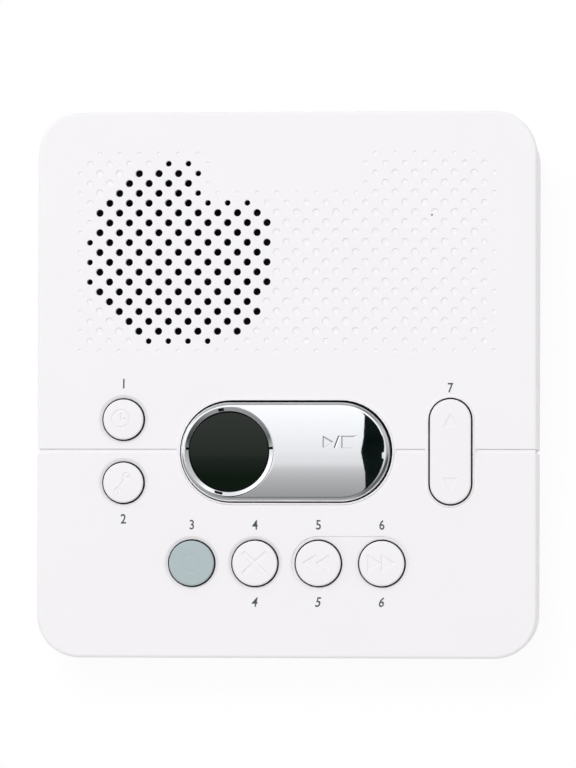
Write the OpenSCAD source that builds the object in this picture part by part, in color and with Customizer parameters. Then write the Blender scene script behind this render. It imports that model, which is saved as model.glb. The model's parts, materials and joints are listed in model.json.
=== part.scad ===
// Desktop digital answering machine: wedge body, speaker grille, round keys,
// volume rocker and a chrome play bar around a smoked display window.
// Millimetres, +Z up, origin on the table under the middle of the body.
// "Top frame" below means the frame of the sloped top face: u to the right,
// v up the slope to the rear, w square out of the face, w = 0 on the face.

/* [Body] */
// Width of the body
body_w = 134.6; // [124:0.2:165]
// Length of the body along its sloped top
body_l = 147; // [138:1:180]
// Height of the top's front edge above the table
front_h = 27.5; // [25:0.5:40]
// Slope of the top face in degrees
slope = 7.3; // [5:0.1:10]
// Corner radius of the body seen from above
corner_r = 11.5; // [8:0.5:16]
// Side wall thickness of both housings
wall_t = 2.4; // [2:0.1:3]
// Thickness of the top face
top_t = 2.2; // [1.8:0.1:2.8]
// Thickness of the floor
floor_t = 2.4; // [2.2:0.1:3]
// Height of the top housing's side, down to the joint line
lid_h = 13; // [11.5:0.5:15]
// Radius of the soft edge round the top face
edge_r = 0.9; // [0.8:0.1:2]
// Width of the styling groove across the top and down the sides
groove_w = 1.1; // [0.6:0.1:1.6]
// Depth of the styling groove
groove_d = 0.6; // [0.3:0.1:1]

/* [Grille] */
// Half pitch of the staggered grille, both ways
grille_step = 2.66; // [2.5:0.01:2.9]
// Diameter of the large sound holes
hole_d = 2; // [1.4:0.02:2.2]
// Width of the large dimples
dimple_d = 2.1; // [1.6:0.1:2.4]
// Depth of the large dimples
dimple_depth = 0.3; // [0.2:0.05:0.5]

/* [Keys] */
// Diameter of the four front key openings
key_d = 12.9; // [10.7:0.1:15.5]
// Distance between the front keys
key_pitch = 17.06; // [16.6:0.01:18.5]
// Diameter of the two side key openings
side_key_d = 11.6; // [10:0.1:13]
// Gap round each key in its opening
key_gap = 0.3; // [0.2:0.05:0.6]
// Height of the key faces above the top
key_rise = 1.3; // [0.8:0.1:2]
// Press travel of the keys and the play bar
key_travel = 0.6; // [0.4:0.05:0.8]
// Width of the volume rocker's opening
rocker_w = 11.9; // [10:0.1:14]
// Length of the volume rocker's opening
rocker_l = 29; // [26:0.5:32]
// Tilt of the volume rocker each way in degrees
rocker_tilt = 3.5; // [2:0.5:4]

/* [Play bar and display] */
// Length of the play bar's opening
play_l = 57.2; // [54:0.2:60]
// Width of the play bar's opening
play_w = 27.6; // [26:0.2:28.4]
// Diameter of the display window
lens_d = 21.7; // [18:0.1:22]

/* [Speaker] */
// Diameter of the loudspeaker
speaker_d = 57; // [47.5:0.5:60]
// Depth of the loudspeaker
speaker_depth = 17; // [15:0.5:20]

/* [Base] */
// Height of the rubber feet below the floor
foot_h = 1.5; // [1:0.1:3]
// Diameter of the rubber feet
foot_d = 10; // [8:0.5:13]
// Length inside the battery bay
bay_l = 52; // [50:0.5:54]
// Width inside the battery bay
bay_w = 28; // [27:0.5:30]
// Height inside the battery bay, above the door
bay_h = 18.6; // [18:0.1:20]
// Thickness of the battery door
door_t = 2.4; // [2.2:0.1:3]
// Thickness of both circuit boards
board_t = 1.6; // [1.2:0.1:2]

/* [Hidden] */

$fn = 64;
// A little extra so that a cut passes right through
eps = 0.02;
// Clearance between pieces that seat in one another
fit = 0.2;
half_w = body_w / 2;
half_l = body_l / 2;
// Height of the middle of the top face above the table
mid_h = front_h + half_l * sin(slope);
// Depth of the floor's underside below the rear edge, along w
rear_w = (mid_h + half_l * sin(slope) - foot_h) / cos(slope);
// Shift that puts the origin under the middle of the body
mid_y = -(rear_w * sin(slope)) / 2;
// Height of the floor's inner face
floor_z = foot_h + floor_t;

// Level of the floor's underside along w, below a point v of the top face
function floor_w(v) = -(mid_h + v * sin(slope) - foot_h) / cos(slope);
// Outer face of the leaning rear wall at a height above the table
function rear_at(z) =
    mid_y + half_l * cos(slope) + (mid_h + half_l * sin(slope) - z) * tan(slope);

// The grille ends this far from the body's sides and from its rear edge
grille_edge = 11.3;
grille_v = 82.5 - half_l;
// Columns and rows of the grille, counted from its rear left corner
grille_cols = 2 * floor((half_w - grille_edge) / grille_step);
grille_rows = 2 * floor((half_l - grille_edge - grille_v) / grille_step / 2);
grille_u = -grille_cols / 2 * grille_step;
// The notch that the grille leaves at the rear
notch_from = grille_cols / 2 - 7;
notch_to = grille_cols / 2 + 7;
notch_rows = 3;
// Middle of the speaker and reach of its sound holes, in grille steps
speaker_col = 10.15;
speaker_row = 10.5;
speaker_reach = (speaker_d / 2 - 2.9) / grille_step;
speaker_u = grille_u + speaker_col * grille_step;
speaker_v = grille_v + (grille_rows - speaker_row) * grille_step;

// Middle of the controls in the top frame, from the body's sides and front edge
side_key_u = 23.4 - half_w;
clock_v = 64 - half_l;
setup_v = 47 - half_l;
front_key_v = 25.4 - half_l;
first_key_u = -25.4;
rocker_u = half_w - 23.15;
band_v = 55.4 - half_l;
lens_u = -15.3;
groove_v = 55.6 - half_l;
mic_u = half_w - 28.2;
mic_v = half_l - 28;
mic_hole_r = 0.25;

// Levels under the top face
board_w = -10;                     // top of the key board
switch_h = 3.5;
plunger_w = board_w + switch_h + 0.5;  // top of a switch plunger, pressed
flange_w = -top_t - 0.1;           // top of each key's flange
flange_t = 1;
stem_w = plunger_w + key_travel + 0.1; // lower end of a key's stem
front_key_r = key_d / 2 - key_gap;
side_key_r = side_key_d / 2 - key_gap;
play_r = play_w / 2 - 0.3;
play_run = (play_l - play_w) / 2;
play_rise = 1.8;
play_soft = 1.3;
ring_r = lens_d / 2 + 0.85;
ring_wall = 1.2;
// Widest 3 to 2 block that fits inside the ring
module_w = (lens_d - 2 * ring_wall - 1.3) * cos(atan(2 / 3));

// Dished edge of each round key's opening
dish_w = 0.9;
dish_deep = 0.3;
// Shadow gap between the housings, and the step where the walls meet the floor
reveal_h = 0.5;
reveal_in = 0.4;
plinth_h = 1.2;
plinth_in = 0.8;

// Height of the rocker's axle under the face
rocker_axle_w = -4.2;
rocker_axle_r = 1.2;
rocker_r = rocker_w / 2 - 0.45;
rocker_run = (rocker_l - rocker_w) / 2;
rocker_foot_v = 8.5;

// Speaker: level of its rim's face, and the clips that hold the rim
speaker_w = -top_t - 0.8;
rim_t = 1;
clip_angles = [90, 210, 330];
clip_reach = 4.6;
clip_drop = 5;

// Screw posts: [u, v, height of the head's seat as w]
post_u = half_w - 10.3;
front_post_v = 11.5 - half_l;
rear_post_v = half_l - 11.5;
well_deep = 7;
posts = [
    for (v = [front_post_v, rear_post_v], side = [-1, 1])
        [side * post_u, v, floor_w(v) + well_deep]
];
post_r = 3.4;
head_r = 2.7;
head_h = 2;
shank_r = 1.25;
screw_l = 10;

// Key board outline and its four posts
key_board_u = half_w - 12.3;
key_board_v0 = 15.5 - half_l;
key_board_v1 = 74 - half_l;
key_posts = [
    [3 - key_board_u, key_board_v0 + 4], [key_board_u - 3, key_board_v0 + 4],
    [3 - key_board_u, key_board_v1 - 3], [rocker_u - 12.15, key_board_v1 - 3]
];

// Battery bay at the rear right of the floor
bay_x = half_w - 31.3;
bay_wall = 1.6;
bay_top = foot_h + door_t + bay_h;
bay_y1 = rear_at(bay_top) - wall_t - 1.2;
bay_y0 = bay_y1 - bay_l;
rail_t = 0.8;
rail_w = 1.3;

// Rubber feet on the floor
foot_x = bay_x + bay_w / 2 + rail_w + 0.7 + foot_d / 2;
foot_places = [for (y = [27.5 - half_l, half_l - 24.5], side = [-1, 1]) [side * foot_x, y]];

// Main board in the bottom housing, lying flat
main_z = floor_z + 5.2;            // underside of the board
main_top = main_z + board_t;
main_x0 = 9.3 - half_w;
main_x1 = bay_x - bay_w / 2 - bay_wall - 2.4;
main_y1 = rear_at(main_top) - wall_t - 5.2;
main_y0 = main_y1 - 93;
main_posts = [
    for (x = [main_x0 + 4, main_x1 - 4], y = [main_y0 + 5, main_y1 - 19]) [x, y]
];

// Sockets in the rear wall
line_x = 21.3 - half_w;
phone_x = line_x + 18;
power_x = phone_x + 20;
jack_w = 13;
jack_h = 12.6;
jack_l = 15;
inlet_w = 9.4;
inlet_h = 11;
inlet_l = 14;
inlet_r = 3.1;
pin_r = 1;
// The sockets' faces lie just inside the leaning rear wall
jack_face_y = rear_at(main_top + jack_h) - 0.3;

// Cables
wire_r = 0.6;
ribbon_w = 20;
ribbon_v = key_board_v1 - 6.5;
ribbon_y = main_y0 + 7;
socket_h = 3.4;
ribbon_top_w = board_w - board_t - socket_h;
bay_lead_x = bay_x - 8;
bay_lead_z = foot_h + door_t + 10;
// Ear on the speaker's frame for its two leads
ear_reach = 18.5;
ear_w = 10.5;

white = [0.95, 0.95, 0.96];
key_white = [0.96, 0.96, 0.97];
chrome = [0.80, 0.82, 0.84];
steel = [0.70, 0.71, 0.73];
dark = [0.13, 0.14, 0.14];
board_green = [0.16, 0.38, 0.24];

// ---------- frames and plain shapes ----------

// Puts its children into the top frame
module in_top_frame() {
    translate([0, mid_y, mid_h])
        rotate([slope, 0, 0])
            children();
}

// Everything above a level, as one large block in the table frame
module above(z) {
    translate([-200, -200, z])
        cube([400, 400, 200]);
}

module round_rect(w, l, r) {
    union() {
        square([w - 2 * r, l], center = true);
        square([w, l - 2 * r], center = true);
        for (x = [-1, 1], y = [-1, 1])
            translate([x * (w / 2 - r), y * (l / 2 - r)])
                circle(r);
    }
}

// Upright prism with a round-cornered outline, from level w0 to w1
module prism(w, l, r, w0, w1) {
    translate([0, 0, w0])
        linear_extrude(w1 - w0)
            round_rect(w, l, r);
}

// The same prism with a soft upper edge of radius e
module soft_prism(w, l, r, w0, w1, e) {
    prism(w, l, r, w0, w1 - e);
    translate([0, 0, w1 - e]) {
        translate([-w / 2 + r, -l / 2 + e, 0])
            cube([w - 2 * r, l - 2 * e, e]);
        translate([-w / 2 + e, -l / 2 + r, 0])
            cube([w - 2 * e, l - 2 * r, e]);
        for (side = [0, 180])
            rotate([0, 0, side]) {
                translate([w / 2 - e, l / 2 - r, 0])
                    rotate([90, 0, 0])
                        linear_extrude(l - 2 * r)
                            quarter_disc(e);
                translate([-w / 2 + r, l / 2 - e, 0])
                    rotate([90, 0, 90])
                        linear_extrude(w - 2 * r)
                            quarter_disc(e);
            }
        for (a = [0, 90, 180, 270]) {
            x = (a == 0 || a == 270) ? 1 : -1;
            y = (a < 180) ? 1 : -1;
            translate([x * (w / 2 - r), y * (l / 2 - r), 0])
                rotate([0, 0, a])
                    rotate_extrude(angle = 90)
                        union() {
                            square([r - e, e]);
                            translate([r - e, 0])
                                quarter_disc(e);
                        }
        }
    }
}

module quarter_disc(r) {
    intersection() {
        circle(r);
        square([r, r]);
    }
}

// Bar with round ends, lying along x, from w0 to w1
module stadium(run, r, w0, w1) {
    translate([0, 0, w0])
        linear_extrude(w1 - w0)
            union() {
                square([2 * run, 2 * r], center = true);
                for (x = [-run, run])
                    translate([x, 0])
                        circle(r);
            }
}

// The same bar with sloped sides: radius r0 at w0 and r1 at w1
module sloped_stadium(run, r0, r1, w0, w1) {
    for (x = [-run, run])
        translate([x, 0, w0])
            cylinder(h = w1 - w0, r1 = r0, r2 = r1);
    rotate([90, 0, 90])
        translate([0, 0, -run])
            linear_extrude(2 * run)
                polygon([[-r0, w0], [r0, w0], [r1, w1], [-r1, w1]]);
}

module hole_at(u, v, r, w0, w1) {
    translate([u, v, w0])
        cylinder(h = w1 - w0, r = r);
}

// ---------- grille ----------

// Steps from the notch, for a point outside it
function notch_gap(c, r) =
    let (du = c < notch_from ? notch_from - 1 - c : c > notch_to ? c - notch_to - 1 : -1)
    let (dr = r - notch_rows - 1)
    r <= notch_rows ? du : du < 0 ? dr : max(du, dr);
function in_notch(c, r) = r <= notch_rows && c >= notch_from && c <= notch_to;
// Steps from the nearest edge of the patterned area
function inset(c, r) = min(c, grille_cols - c, r, grille_rows - r, notch_gap(c, r));
function is_corner(c, r) = r == 0 && (c == 0 || c == grille_cols);
function is_dot(c, r) = (r + c) % 2 == 0 && !in_notch(c, r) && !is_corner(c, r);
function is_hole(c, r) =
    inset(c, r) >= 1 && norm([c - speaker_col, r - speaker_row]) <= speaker_reach;
// Share of full size: the dots shrink over the outer two rows
function dot_share(c, r) = inset(c, r) >= 2 ? 1 : inset(c, r) == 1 ? 0.79 : 0.55;

module grille_cuts() {
    for (r = [0 : grille_rows], c = [0 : grille_cols])
        if (is_dot(c, r))
            translate([grille_u + c * grille_step, grille_v + (grille_rows - r) * grille_step, 0])
                grille_dot(is_hole(c, r), dot_share(c, r));
}

module grille_dot(through, share) {
    d = dimple_d * share;
    deep = dimple_depth * (0.4 + 0.6 * share);
    if (through)
        translate([0, 0, -top_t - 1])
            cylinder(h = top_t + 2, d = hole_d * share, $fn = 24);
    else
        translate([0, 0, -deep])
            cylinder(h = 2 * deep, d1 = 0.7 * d, d2 = 1.3 * d, $fn = 24);
}

// ---------- housings ----------

module top_housing() {
    color(white)
        in_top_frame()
            union() {
                difference() {
                    union() {
                        soft_prism(body_w, body_l, corner_r, -lid_h, 0, edge_r);
                    }
                    lid_cavity();
                    groove();
                    apertures();
                    grille_cuts();
                }
                collars();
                lid_posts();
                rocker_yokes();
                speaker_wall();
                mic_wall();
            }
}

module lid_cavity() {
    prism(body_w - 2 * wall_t, body_l - 2 * wall_t, corner_r - wall_t, -lid_h - 1, -top_t);
    // rebate for the lower housing's tongue
    prism(body_w - 2.2, body_l - 2.2, corner_r - 1.1, -lid_h - 1, -lid_h + 1.7);
}

module groove() {
    difference() {
        translate([-half_w - 1, groove_v - groove_w / 2, -lid_h - 1])
            cube([body_w + 2, groove_w, lid_h + 2]);
        translate([-half_w + groove_d, groove_v - groove_w, -lid_h - 2])
            cube([body_w - 2 * groove_d, 2 * groove_w, lid_h + 2 - groove_d]);
        // the groove stops at the raised rims of the play bar and the rocker
        translate([0, band_v, 0])
            stadium(play_run, play_w / 2 + 0.9, -1, 1);
        translate([rocker_u, band_v, 0])
            rotate([0, 0, 90])
                stadium(rocker_run, rocker_w / 2 + 0.8, -1, 1);
    }
}

function key_places() = [
    for (i = [0 : 3]) [first_key_u + i * key_pitch, front_key_v, key_d / 2],
    [side_key_u, clock_v, side_key_d / 2],
    [side_key_u, setup_v, side_key_d / 2]
];

module apertures() {
    for (k = key_places()) {
        hole_at(k[0], k[1], k[2], -top_t - 1, 1);
        translate([k[0], k[1], -dish_deep])
            cylinder(h = 2 * dish_deep, r1 = k[2], r2 = k[2] + 2 * dish_w);
    }
    // shallow recess shared by the last two front keys
    translate([first_key_u + 2.5 * key_pitch, front_key_v, 0])
        stadium(key_pitch / 2, key_d / 2 + 0.85, -0.25, 1);
    translate([0, band_v, 0])
        stadium(play_run, play_w / 2, -top_t - 1, 2);
    translate([rocker_u, band_v, 0])
        rotate([0, 0, 90])
            stadium(rocker_run, rocker_w / 2, -top_t - 1, 2);
    hole_at(mic_u, mic_v, mic_hole_r, -top_t - 1, 1);
}

// Low rims round the play bar's and the rocker's openings
module collars() {
    translate([0, band_v, 0])
        difference() {
            sloped_stadium(play_run, play_w / 2 + 0.9, play_w / 2 + 0.35, -0.5, 0.45);
            stadium(play_run, play_w / 2, -1, 1);
        }
    translate([rocker_u, band_v, 0])
        rotate([0, 0, 90])
            difference() {
                sloped_stadium(rocker_run, rocker_w / 2 + 0.8, rocker_w / 2 + 0.3, -0.5, 0.35);
                stadium(rocker_run, rocker_w / 2, -1, 1);
            }
}

// Posts for the housing screws and the key board
module lid_posts() {
    for (p = posts)
        difference() {
            hole_at(p[0], p[1], post_r, p[2] + 3.2, -top_t + 0.3);
            hole_at(p[0], p[1], shank_r - 0.05, p[2], p[2] + 12);
        }
    for (p = key_posts)
        difference() {
            hole_at(p[0], p[1], 2.4, board_w, -top_t + 0.3);
            hole_at(p[0], p[1], 0.95, board_w - 1, -top_t - 0.8);
        }
}

// Two ears that carry the rocker's axle stubs
module rocker_yokes() {
    for (side = [-1, 1])
        translate([rocker_u + side * (rocker_w / 2 + 1.6), band_v, 0])
            difference() {
                translate([-0.8, -2.6, rocker_axle_w - 2.4])
                    cube([1.6, 5.2, 2.4 - rocker_axle_w - top_t + 0.3]);
                translate([-2, 0, rocker_axle_w])
                    rotate([0, 90, 0])
                        cylinder(h = 4, r = rocker_axle_r + 0.08);
            }
}

// Ring rib that centres the speaker, and the posts of its three clips
module speaker_wall() {
    translate([speaker_u, speaker_v, 0]) {
        difference() {
            hole_at(0, 0, speaker_d / 2 + 1.6, speaker_w - rim_t, -top_t + 0.3);
            hole_at(0, 0, speaker_d / 2 + 0.3, speaker_w - 2 * rim_t, 0);
        }
        for (a = clip_angles)
            rotate([0, 0, a])
                difference() {
                    hole_at(speaker_d / 2 + clip_reach, 0, 2.2, speaker_w - clip_drop, -top_t + 0.3);
                    hole_at(speaker_d / 2 + clip_reach, 0, 0.85, speaker_w - clip_drop - 1,
                            speaker_w - 1);
                }
    }
}

// Ring rib that holds the microphone's boot
module mic_wall() {
    difference() {
        hole_at(mic_u, mic_v, 7.4, -7, -top_t + 0.3);
        hole_at(mic_u, mic_v, 6.2, -8, -top_t);
        hole_at(mic_u, mic_v, mic_hole_r, -8, 1);
    }
}

module bottom_housing() {
    color(white)
        difference() {
            union() {
                shell_of_base();
                base_posts();
                bay_walls();
            }
            screw_wells();
            bay_space();
            door_way();
            rear_sockets();
            foot_seats();
            lead_holes();
        }
}

// Holes for the battery's leads in the bay's front wall
module lead_holes() {
    for (side = [0, 1])
        translate([bay_lead_x + 3 * side, bay_y0 + 1, bay_lead_z])
            rotate([90, 0, 0])
                cylinder(h = 5, r = wire_r + 0.3, $fn = 24);
}

module shell_of_base() {
    difference() {
        intersection() {
            in_top_frame()
                union() {
                    prism(body_w, body_l, corner_r, -80, -lid_h);
                    prism(body_w - 2.2 - 2 * fit, body_l - 2.2 - 2 * fit,
                          corner_r - 1.1 - fit, -30, -lid_h + 1.5);
                }
            above(foot_h);
        }
        intersection() {
            in_top_frame()
                prism(body_w - 2 * wall_t, body_l - 2 * wall_t, corner_r - wall_t, -80, 1);
            above(floor_z);
        }
        in_top_frame() {
            base_groove();
            ring_cut(reveal_in, -lid_h - reveal_h, -lid_h + 0.2);
        }
        intersection() {
            in_top_frame()
                ring_cut(plinth_in, -80, 0);
            translate([-200, -200, 0])
                cube([400, 400, foot_h + plinth_h]);
        }
    }
}

// Everything outside the body's outline moved inwards by a distance
module ring_cut(inwards, w0, w1) {
    difference() {
        prism(body_w + 4, body_l + 4, corner_r + 2, w0, w1);
        prism(body_w - 2 * inwards, body_l - 2 * inwards, corner_r - inwards, w0 - 1, w1 + 1);
    }
}

// The styling groove goes on down the lower housing's sides
module base_groove() {
    for (side = [-1, 1])
        translate([side * half_w - groove_d, groove_v - groove_w / 2, -80])
            cube([2 * groove_d, groove_w, 81]);
}

module base_posts() {
    intersection() {
        in_top_frame()
            for (p = posts)
                hole_at(p[0], p[1], post_r + 1.2, -80, p[2] + 3);
        above(foot_h + eps);
    }
    for (p = main_posts)
        translate([p[0], p[1], foot_h + 0.5])
            cylinder(h = main_z - foot_h - 0.5, r = 3);
}

module screw_wells() {
    in_top_frame()
        for (p = posts) {
            hole_at(p[0], p[1], head_r + 0.3, -80, p[2]);
            hole_at(p[0], p[1], shank_r + 0.3, p[2] - 1, p[2] + 8);
        }
    for (p = main_posts)
        translate([p[0], p[1], floor_z + 0.6])
            cylinder(h = 10, r = 1);
}

module bay_walls() {
    translate([bay_x - bay_w / 2 - bay_wall, bay_y0 - bay_wall, foot_h])
        cube([bay_w + 2 * bay_wall, bay_l + bay_wall + 2, bay_top + bay_wall - foot_h]);
}

module bay_space() {
    translate([bay_x - bay_w / 2, bay_y0, foot_h - 1])
        cube([bay_w, bay_l, bay_top - foot_h + 1]);
}

// Way for the door and its two side tongues, out through the rear wall
module door_way() {
    translate([bay_x - bay_w / 2, bay_y0, foot_h - 1])
        cube([bay_w, 40 + bay_l, door_t + 1.2]);
    translate([bay_x - bay_w / 2 - rail_w, bay_y0, foot_h + door_t / 2 - rail_t / 2])
        cube([bay_w + 2 * rail_w, 40 + bay_l, rail_t]);
}

module rear_sockets() {
    for (x = [line_x, phone_x])
        translate([x - jack_w / 2 - fit, 60, main_top - fit])
            cube([jack_w + 2 * fit, 30, jack_h + 2 * fit]);
    translate([power_x - inlet_w / 2 - fit, 60, main_top - fit])
        cube([inlet_w + 2 * fit, 30, inlet_h + 2 * fit]);
}

module foot_seats() {
    for (p = foot_places)
        translate([p[0], p[1], foot_h - 1])
            cylinder(h = 1.8, d = foot_d + 2 * fit);
}

module battery_door() {
    color(white)
        difference() {
            union() {
                translate([bay_x - bay_w / 2 + fit, bay_y0 + fit, foot_h])
                    cube([bay_w - 2 * fit, door_len() - fit, door_t]);
                translate([bay_x - bay_w / 2 - rail_w + fit, bay_y0 + fit,
                           foot_h + door_t / 2 - rail_t / 2 + 0.1])
                    cube([bay_w + 2 * rail_w - 2 * fit, bay_l - 2, rail_t - 0.2]);
            }
            // thumb grip: five grooves across the door
            for (i = [0 : 4])
                translate([bay_x - 7, bay_y0 + 34 + 2.4 * i, foot_h - 1])
                    cube([14, 1.2, 1.5]);
        }
}

// From the bay's front end to just inside the rear wall's outer face
function door_len() = mid_y + half_l * cos(slope) + (rear_w - door_t) * sin(slope) - bay_y0 - 0.4;

module rubber_feet() {
    color(dark)
        for (p = foot_places)
            translate([p[0], p[1], 0])
                rotate_extrude()
                    polygon([
                        [0, 0], [foot_d / 2 - 0.6, 0], [foot_d / 2, 0.6],
                        [foot_d / 2, foot_h + 0.8], [0, foot_h + 0.8]
                    ]);
}

// Pan-head screw, head down at w = 0, pointing up
module pan_screw(r, length, r_head, h_head) {
    difference() {
        union() {
            translate([0, 0, -h_head])
                cylinder(h = h_head, r1 = r_head - 0.5, r2 = r_head);
            translate([0, 0, -eps])
                cylinder(h = length + eps, r = r);
        }
        for (a = [0, 90])
            rotate([0, 0, a])
                translate([-r_head * 0.6, -0.35, -h_head - 1])
                    cube([r_head * 1.2, 0.7, 1 + h_head * 0.55]);
    }
}

module housing_screws() {
    color(steel)
        in_top_frame()
            for (p = posts)
                translate([p[0], p[1], p[2]])
                    pan_screw(shank_r - 0.1, screw_l, head_r, head_h);
}

// ---------- keys ----------

// Round key: soft-edged cap, flange under the top face, stem to its switch
module round_key(r) {
    soft = 0.9;
    rotate_extrude()
        union() {
            translate([0, flange_w])
                square([r, key_rise - soft - flange_w]);
            translate([0, key_rise - soft])
                square([r - soft, soft]);
            translate([r - soft, key_rise - soft])
                quarter_disc(soft);
            translate([0, flange_w - flange_t])
                square([r + 1.1, flange_t]);
            translate([0, stem_w])
                square([1.6, flange_w - flange_t - stem_w + 0.1]);
        }
}

module key_at(u, v, r, shade) {
    color(shade)
        in_top_frame()
            translate([u, v, 0])
                round_key(r);
}

module clock_button() { key_at(side_key_u, clock_v, side_key_r, key_white); }
module setup_button() { key_at(side_key_u, setup_v, side_key_r, key_white); }
module on_off_button() { key_at(first_key_u, front_key_v, front_key_r, [0.69, 0.75, 0.77]); }
module delete_button() { key_at(first_key_u + key_pitch, front_key_v, front_key_r, key_white); }
module memo_repeat_button() {
    key_at(first_key_u + 2 * key_pitch, front_key_v, front_key_r, key_white);
}
module announce_skip_button() {
    key_at(first_key_u + 3 * key_pitch, front_key_v, front_key_r, key_white);
}

module volume_rocker() {
    rise = 1.4;
    color(key_white)
        in_top_frame()
            translate([rocker_u, band_v, 0])
                union() {
                    rotate([0, 0, 90]) {
                        stadium(rocker_run, rocker_r, -3, rise - 0.7);
                        sloped_stadium(rocker_run, rocker_r, rocker_r - 0.7, rise - 0.7, rise);
                    }
                    // axle block with its two stubs
                    translate([-3.6, -2, rocker_axle_w - 1.6])
                        cube([7.2, 4, -rocker_axle_w - 1]);
                    translate([-rocker_w / 2 - 2.2, 0, rocker_axle_w])
                        rotate([0, 90, 0])
                            cylinder(h = rocker_w + 4.4, r = rocker_axle_r);
                    for (side = [-1, 1])
                        translate([0, side * rocker_foot_v, stem_w])
                            cylinder(h = -2.5 - stem_w, r = 1.6);
                }
}

// Chrome play bar: soft-edged, with a round opening for the display
module play_stop_button() {
    color(chrome)
        in_top_frame()
            translate([0, band_v, 0])
                difference() {
                    union() {
                        stadium(play_run, play_r, -top_t, play_rise - play_soft);
                        play_edge(play_soft);
                        stadium(play_run, play_r + 1.4, flange_w - flange_t, flange_w);
                        translate([14, 0, stem_w])
                            cylinder(h = -top_t - stem_w, r = 2);
                    }
                    translate([lens_u, 0, -10])
                        cylinder(h = 20, r = ring_r + 0.3);
                }
}

module play_edge(soft) {
    stadium(play_run, play_r - soft, play_rise - soft, play_rise);
    for (side = [0, 180])
        rotate([0, 0, side]) {
            translate([-play_run, play_r - soft, play_rise - soft])
                rotate([90, 0, 90])
                    linear_extrude(2 * play_run)
                        quarter_disc(soft);
            translate([play_run, 0, play_rise - soft])
                rotate([0, 0, -90])
                    rotate_extrude(angle = 180)
                        translate([play_r - soft, 0])
                            quarter_disc(soft);
        }
}

// ---------- display ----------

module display_ring() {
    color(chrome)
        in_top_frame()
            translate([lens_u, band_v, 0])
                rotate_extrude()
                    polygon([
                        [lens_d / 2 - ring_wall, board_w], [ring_r, board_w],
                        [ring_r, 1.9], [ring_r - 0.25, 2.1],
                        [lens_d / 2, 1.2], [lens_d / 2, -0.9], [lens_d / 2 - ring_wall, -0.9]
                    ]);
}

module display_lens() {
    color(dark)
        in_top_frame()
            translate([lens_u, band_v, -0.9])
                cylinder(h = 1.9, r = lens_d / 2 - 0.05);
}

module display_module() {
    color([0.2, 0.2, 0.2])
        in_top_frame()
            translate([lens_u, band_v, 0]) {
                translate([-module_w / 2, -module_w / 3, board_w])
                    cube([module_w, module_w * 2 / 3, 7]);
            }
}

module key_board() {
    color(board_green)
        in_top_frame()
            difference() {
                translate([-key_board_u, key_board_v0, board_w - board_t])
                    cube([2 * key_board_u, key_board_v1 - key_board_v0, board_t]);
                for (p = key_posts)
                    hole_at(p[0], p[1], 1.3, board_w - 5, board_w + 5);
                for (p = posts)
                    hole_at(p[0], p[1], post_r + 2, board_w - 5, board_w + 5);
            }
}

module key_board_screws() {
    color(steel)
        in_top_frame()
            for (p = key_posts)
                translate([p[0], p[1], board_w - board_t])
                    pan_screw(0.9, 6, 2, 1.4);
}

module switch_at(u, v) {
    color(dark)
        in_top_frame()
            translate([u, v, board_w])
                union() {
                    translate([-3, -3, 0])
                        cube([6, 6, switch_h]);
                    cylinder(h = switch_h + 0.5, r = 1.7);
                }
}

module clock_switch() { switch_at(side_key_u, clock_v); }
module setup_switch() { switch_at(side_key_u, setup_v); }
module on_off_switch() { switch_at(first_key_u, front_key_v); }
module delete_switch() { switch_at(first_key_u + key_pitch, front_key_v); }
module memo_repeat_switch() { switch_at(first_key_u + 2 * key_pitch, front_key_v); }
module announce_skip_switch() { switch_at(first_key_u + 3 * key_pitch, front_key_v); }
module volume_up_switch() { switch_at(rocker_u, band_v + rocker_foot_v); }
module volume_down_switch() { switch_at(rocker_u, band_v - rocker_foot_v); }
module play_stop_switch() { switch_at(14, band_v); }

// ---------- speaker and microphone ----------

module at_speaker() {
    in_top_frame()
        translate([speaker_u, speaker_v, speaker_w])
            children();
}

// Pressed steel basket: rim, ledge for the cone, sloped wall and back plate
module speaker_frame() {
    rim = speaker_d / 2;
    back = -speaker_depth + 6;
    color(steel)
        at_speaker()
            union() {
                rotate_extrude()
                    polygon([
                        [rim - 1.6, 0], [rim, 0], [rim, -rim_t], [rim - 1.8, -rim_t],
                        [rim - 3, -1.6], [15.4, back + 1.5], [15.4, back], [8, back],
                        [8, back + 1.2], [14.4, back + 1.2], [rim - 3.6, -0.8], [rim - 1.6, -0.8]
                    ]);
                // ear for the leads
                translate([-3.5, -ear_reach - 2, -ear_w])
                    cube([7, 6, ear_w + back + 1.2]);
            }
}

module speaker_magnet() {
    color(dark)
        at_speaker()
            translate([0, 0, -speaker_depth])
                difference() {
                    cylinder(h = 6, r = 15);
                    translate([0, 0, 1.5])
                        cylinder(h = 6, r = 7.5);
                }
}

// Paper cone with its rolled edge, glued to the basket's ledge
module speaker_cone() {
    rim = speaker_d / 2 - 1.8;
    color([0.18, 0.18, 0.17])
        at_speaker()
            rotate_extrude()
                polygon([
                    [rim, -0.8], [rim, -0.4], [rim - 1.8, -0.4], [rim - 2.8, 0], [rim - 4, -0.5],
                    [8, -6], [7, -6], [7, -6.6], [8.2, -6.6], [rim - 3.8, -1.1],
                    [rim - 2.8, -0.6], [rim - 2, -0.8]
                ]);
}

module speaker_dust_cap() {
    color(dark)
        at_speaker()
            translate([0, 0, -6])
                difference() {
                    translate([0, 0, -6])
                        sphere(9.2);
                    translate([0, 0, -6])
                        sphere(8.8);
                    translate([-20, -20, -40])
                        cube([40, 40, 40]);
                }
}

module speaker_gasket() {
    color([0.1, 0.1, 0.1])
        at_speaker()
            difference() {
                cylinder(h = 0.8, r = speaker_d / 2);
                translate([0, 0, -1])
                    cylinder(h = 3, r = speaker_d / 2 - 2.4);
            }
}

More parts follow.
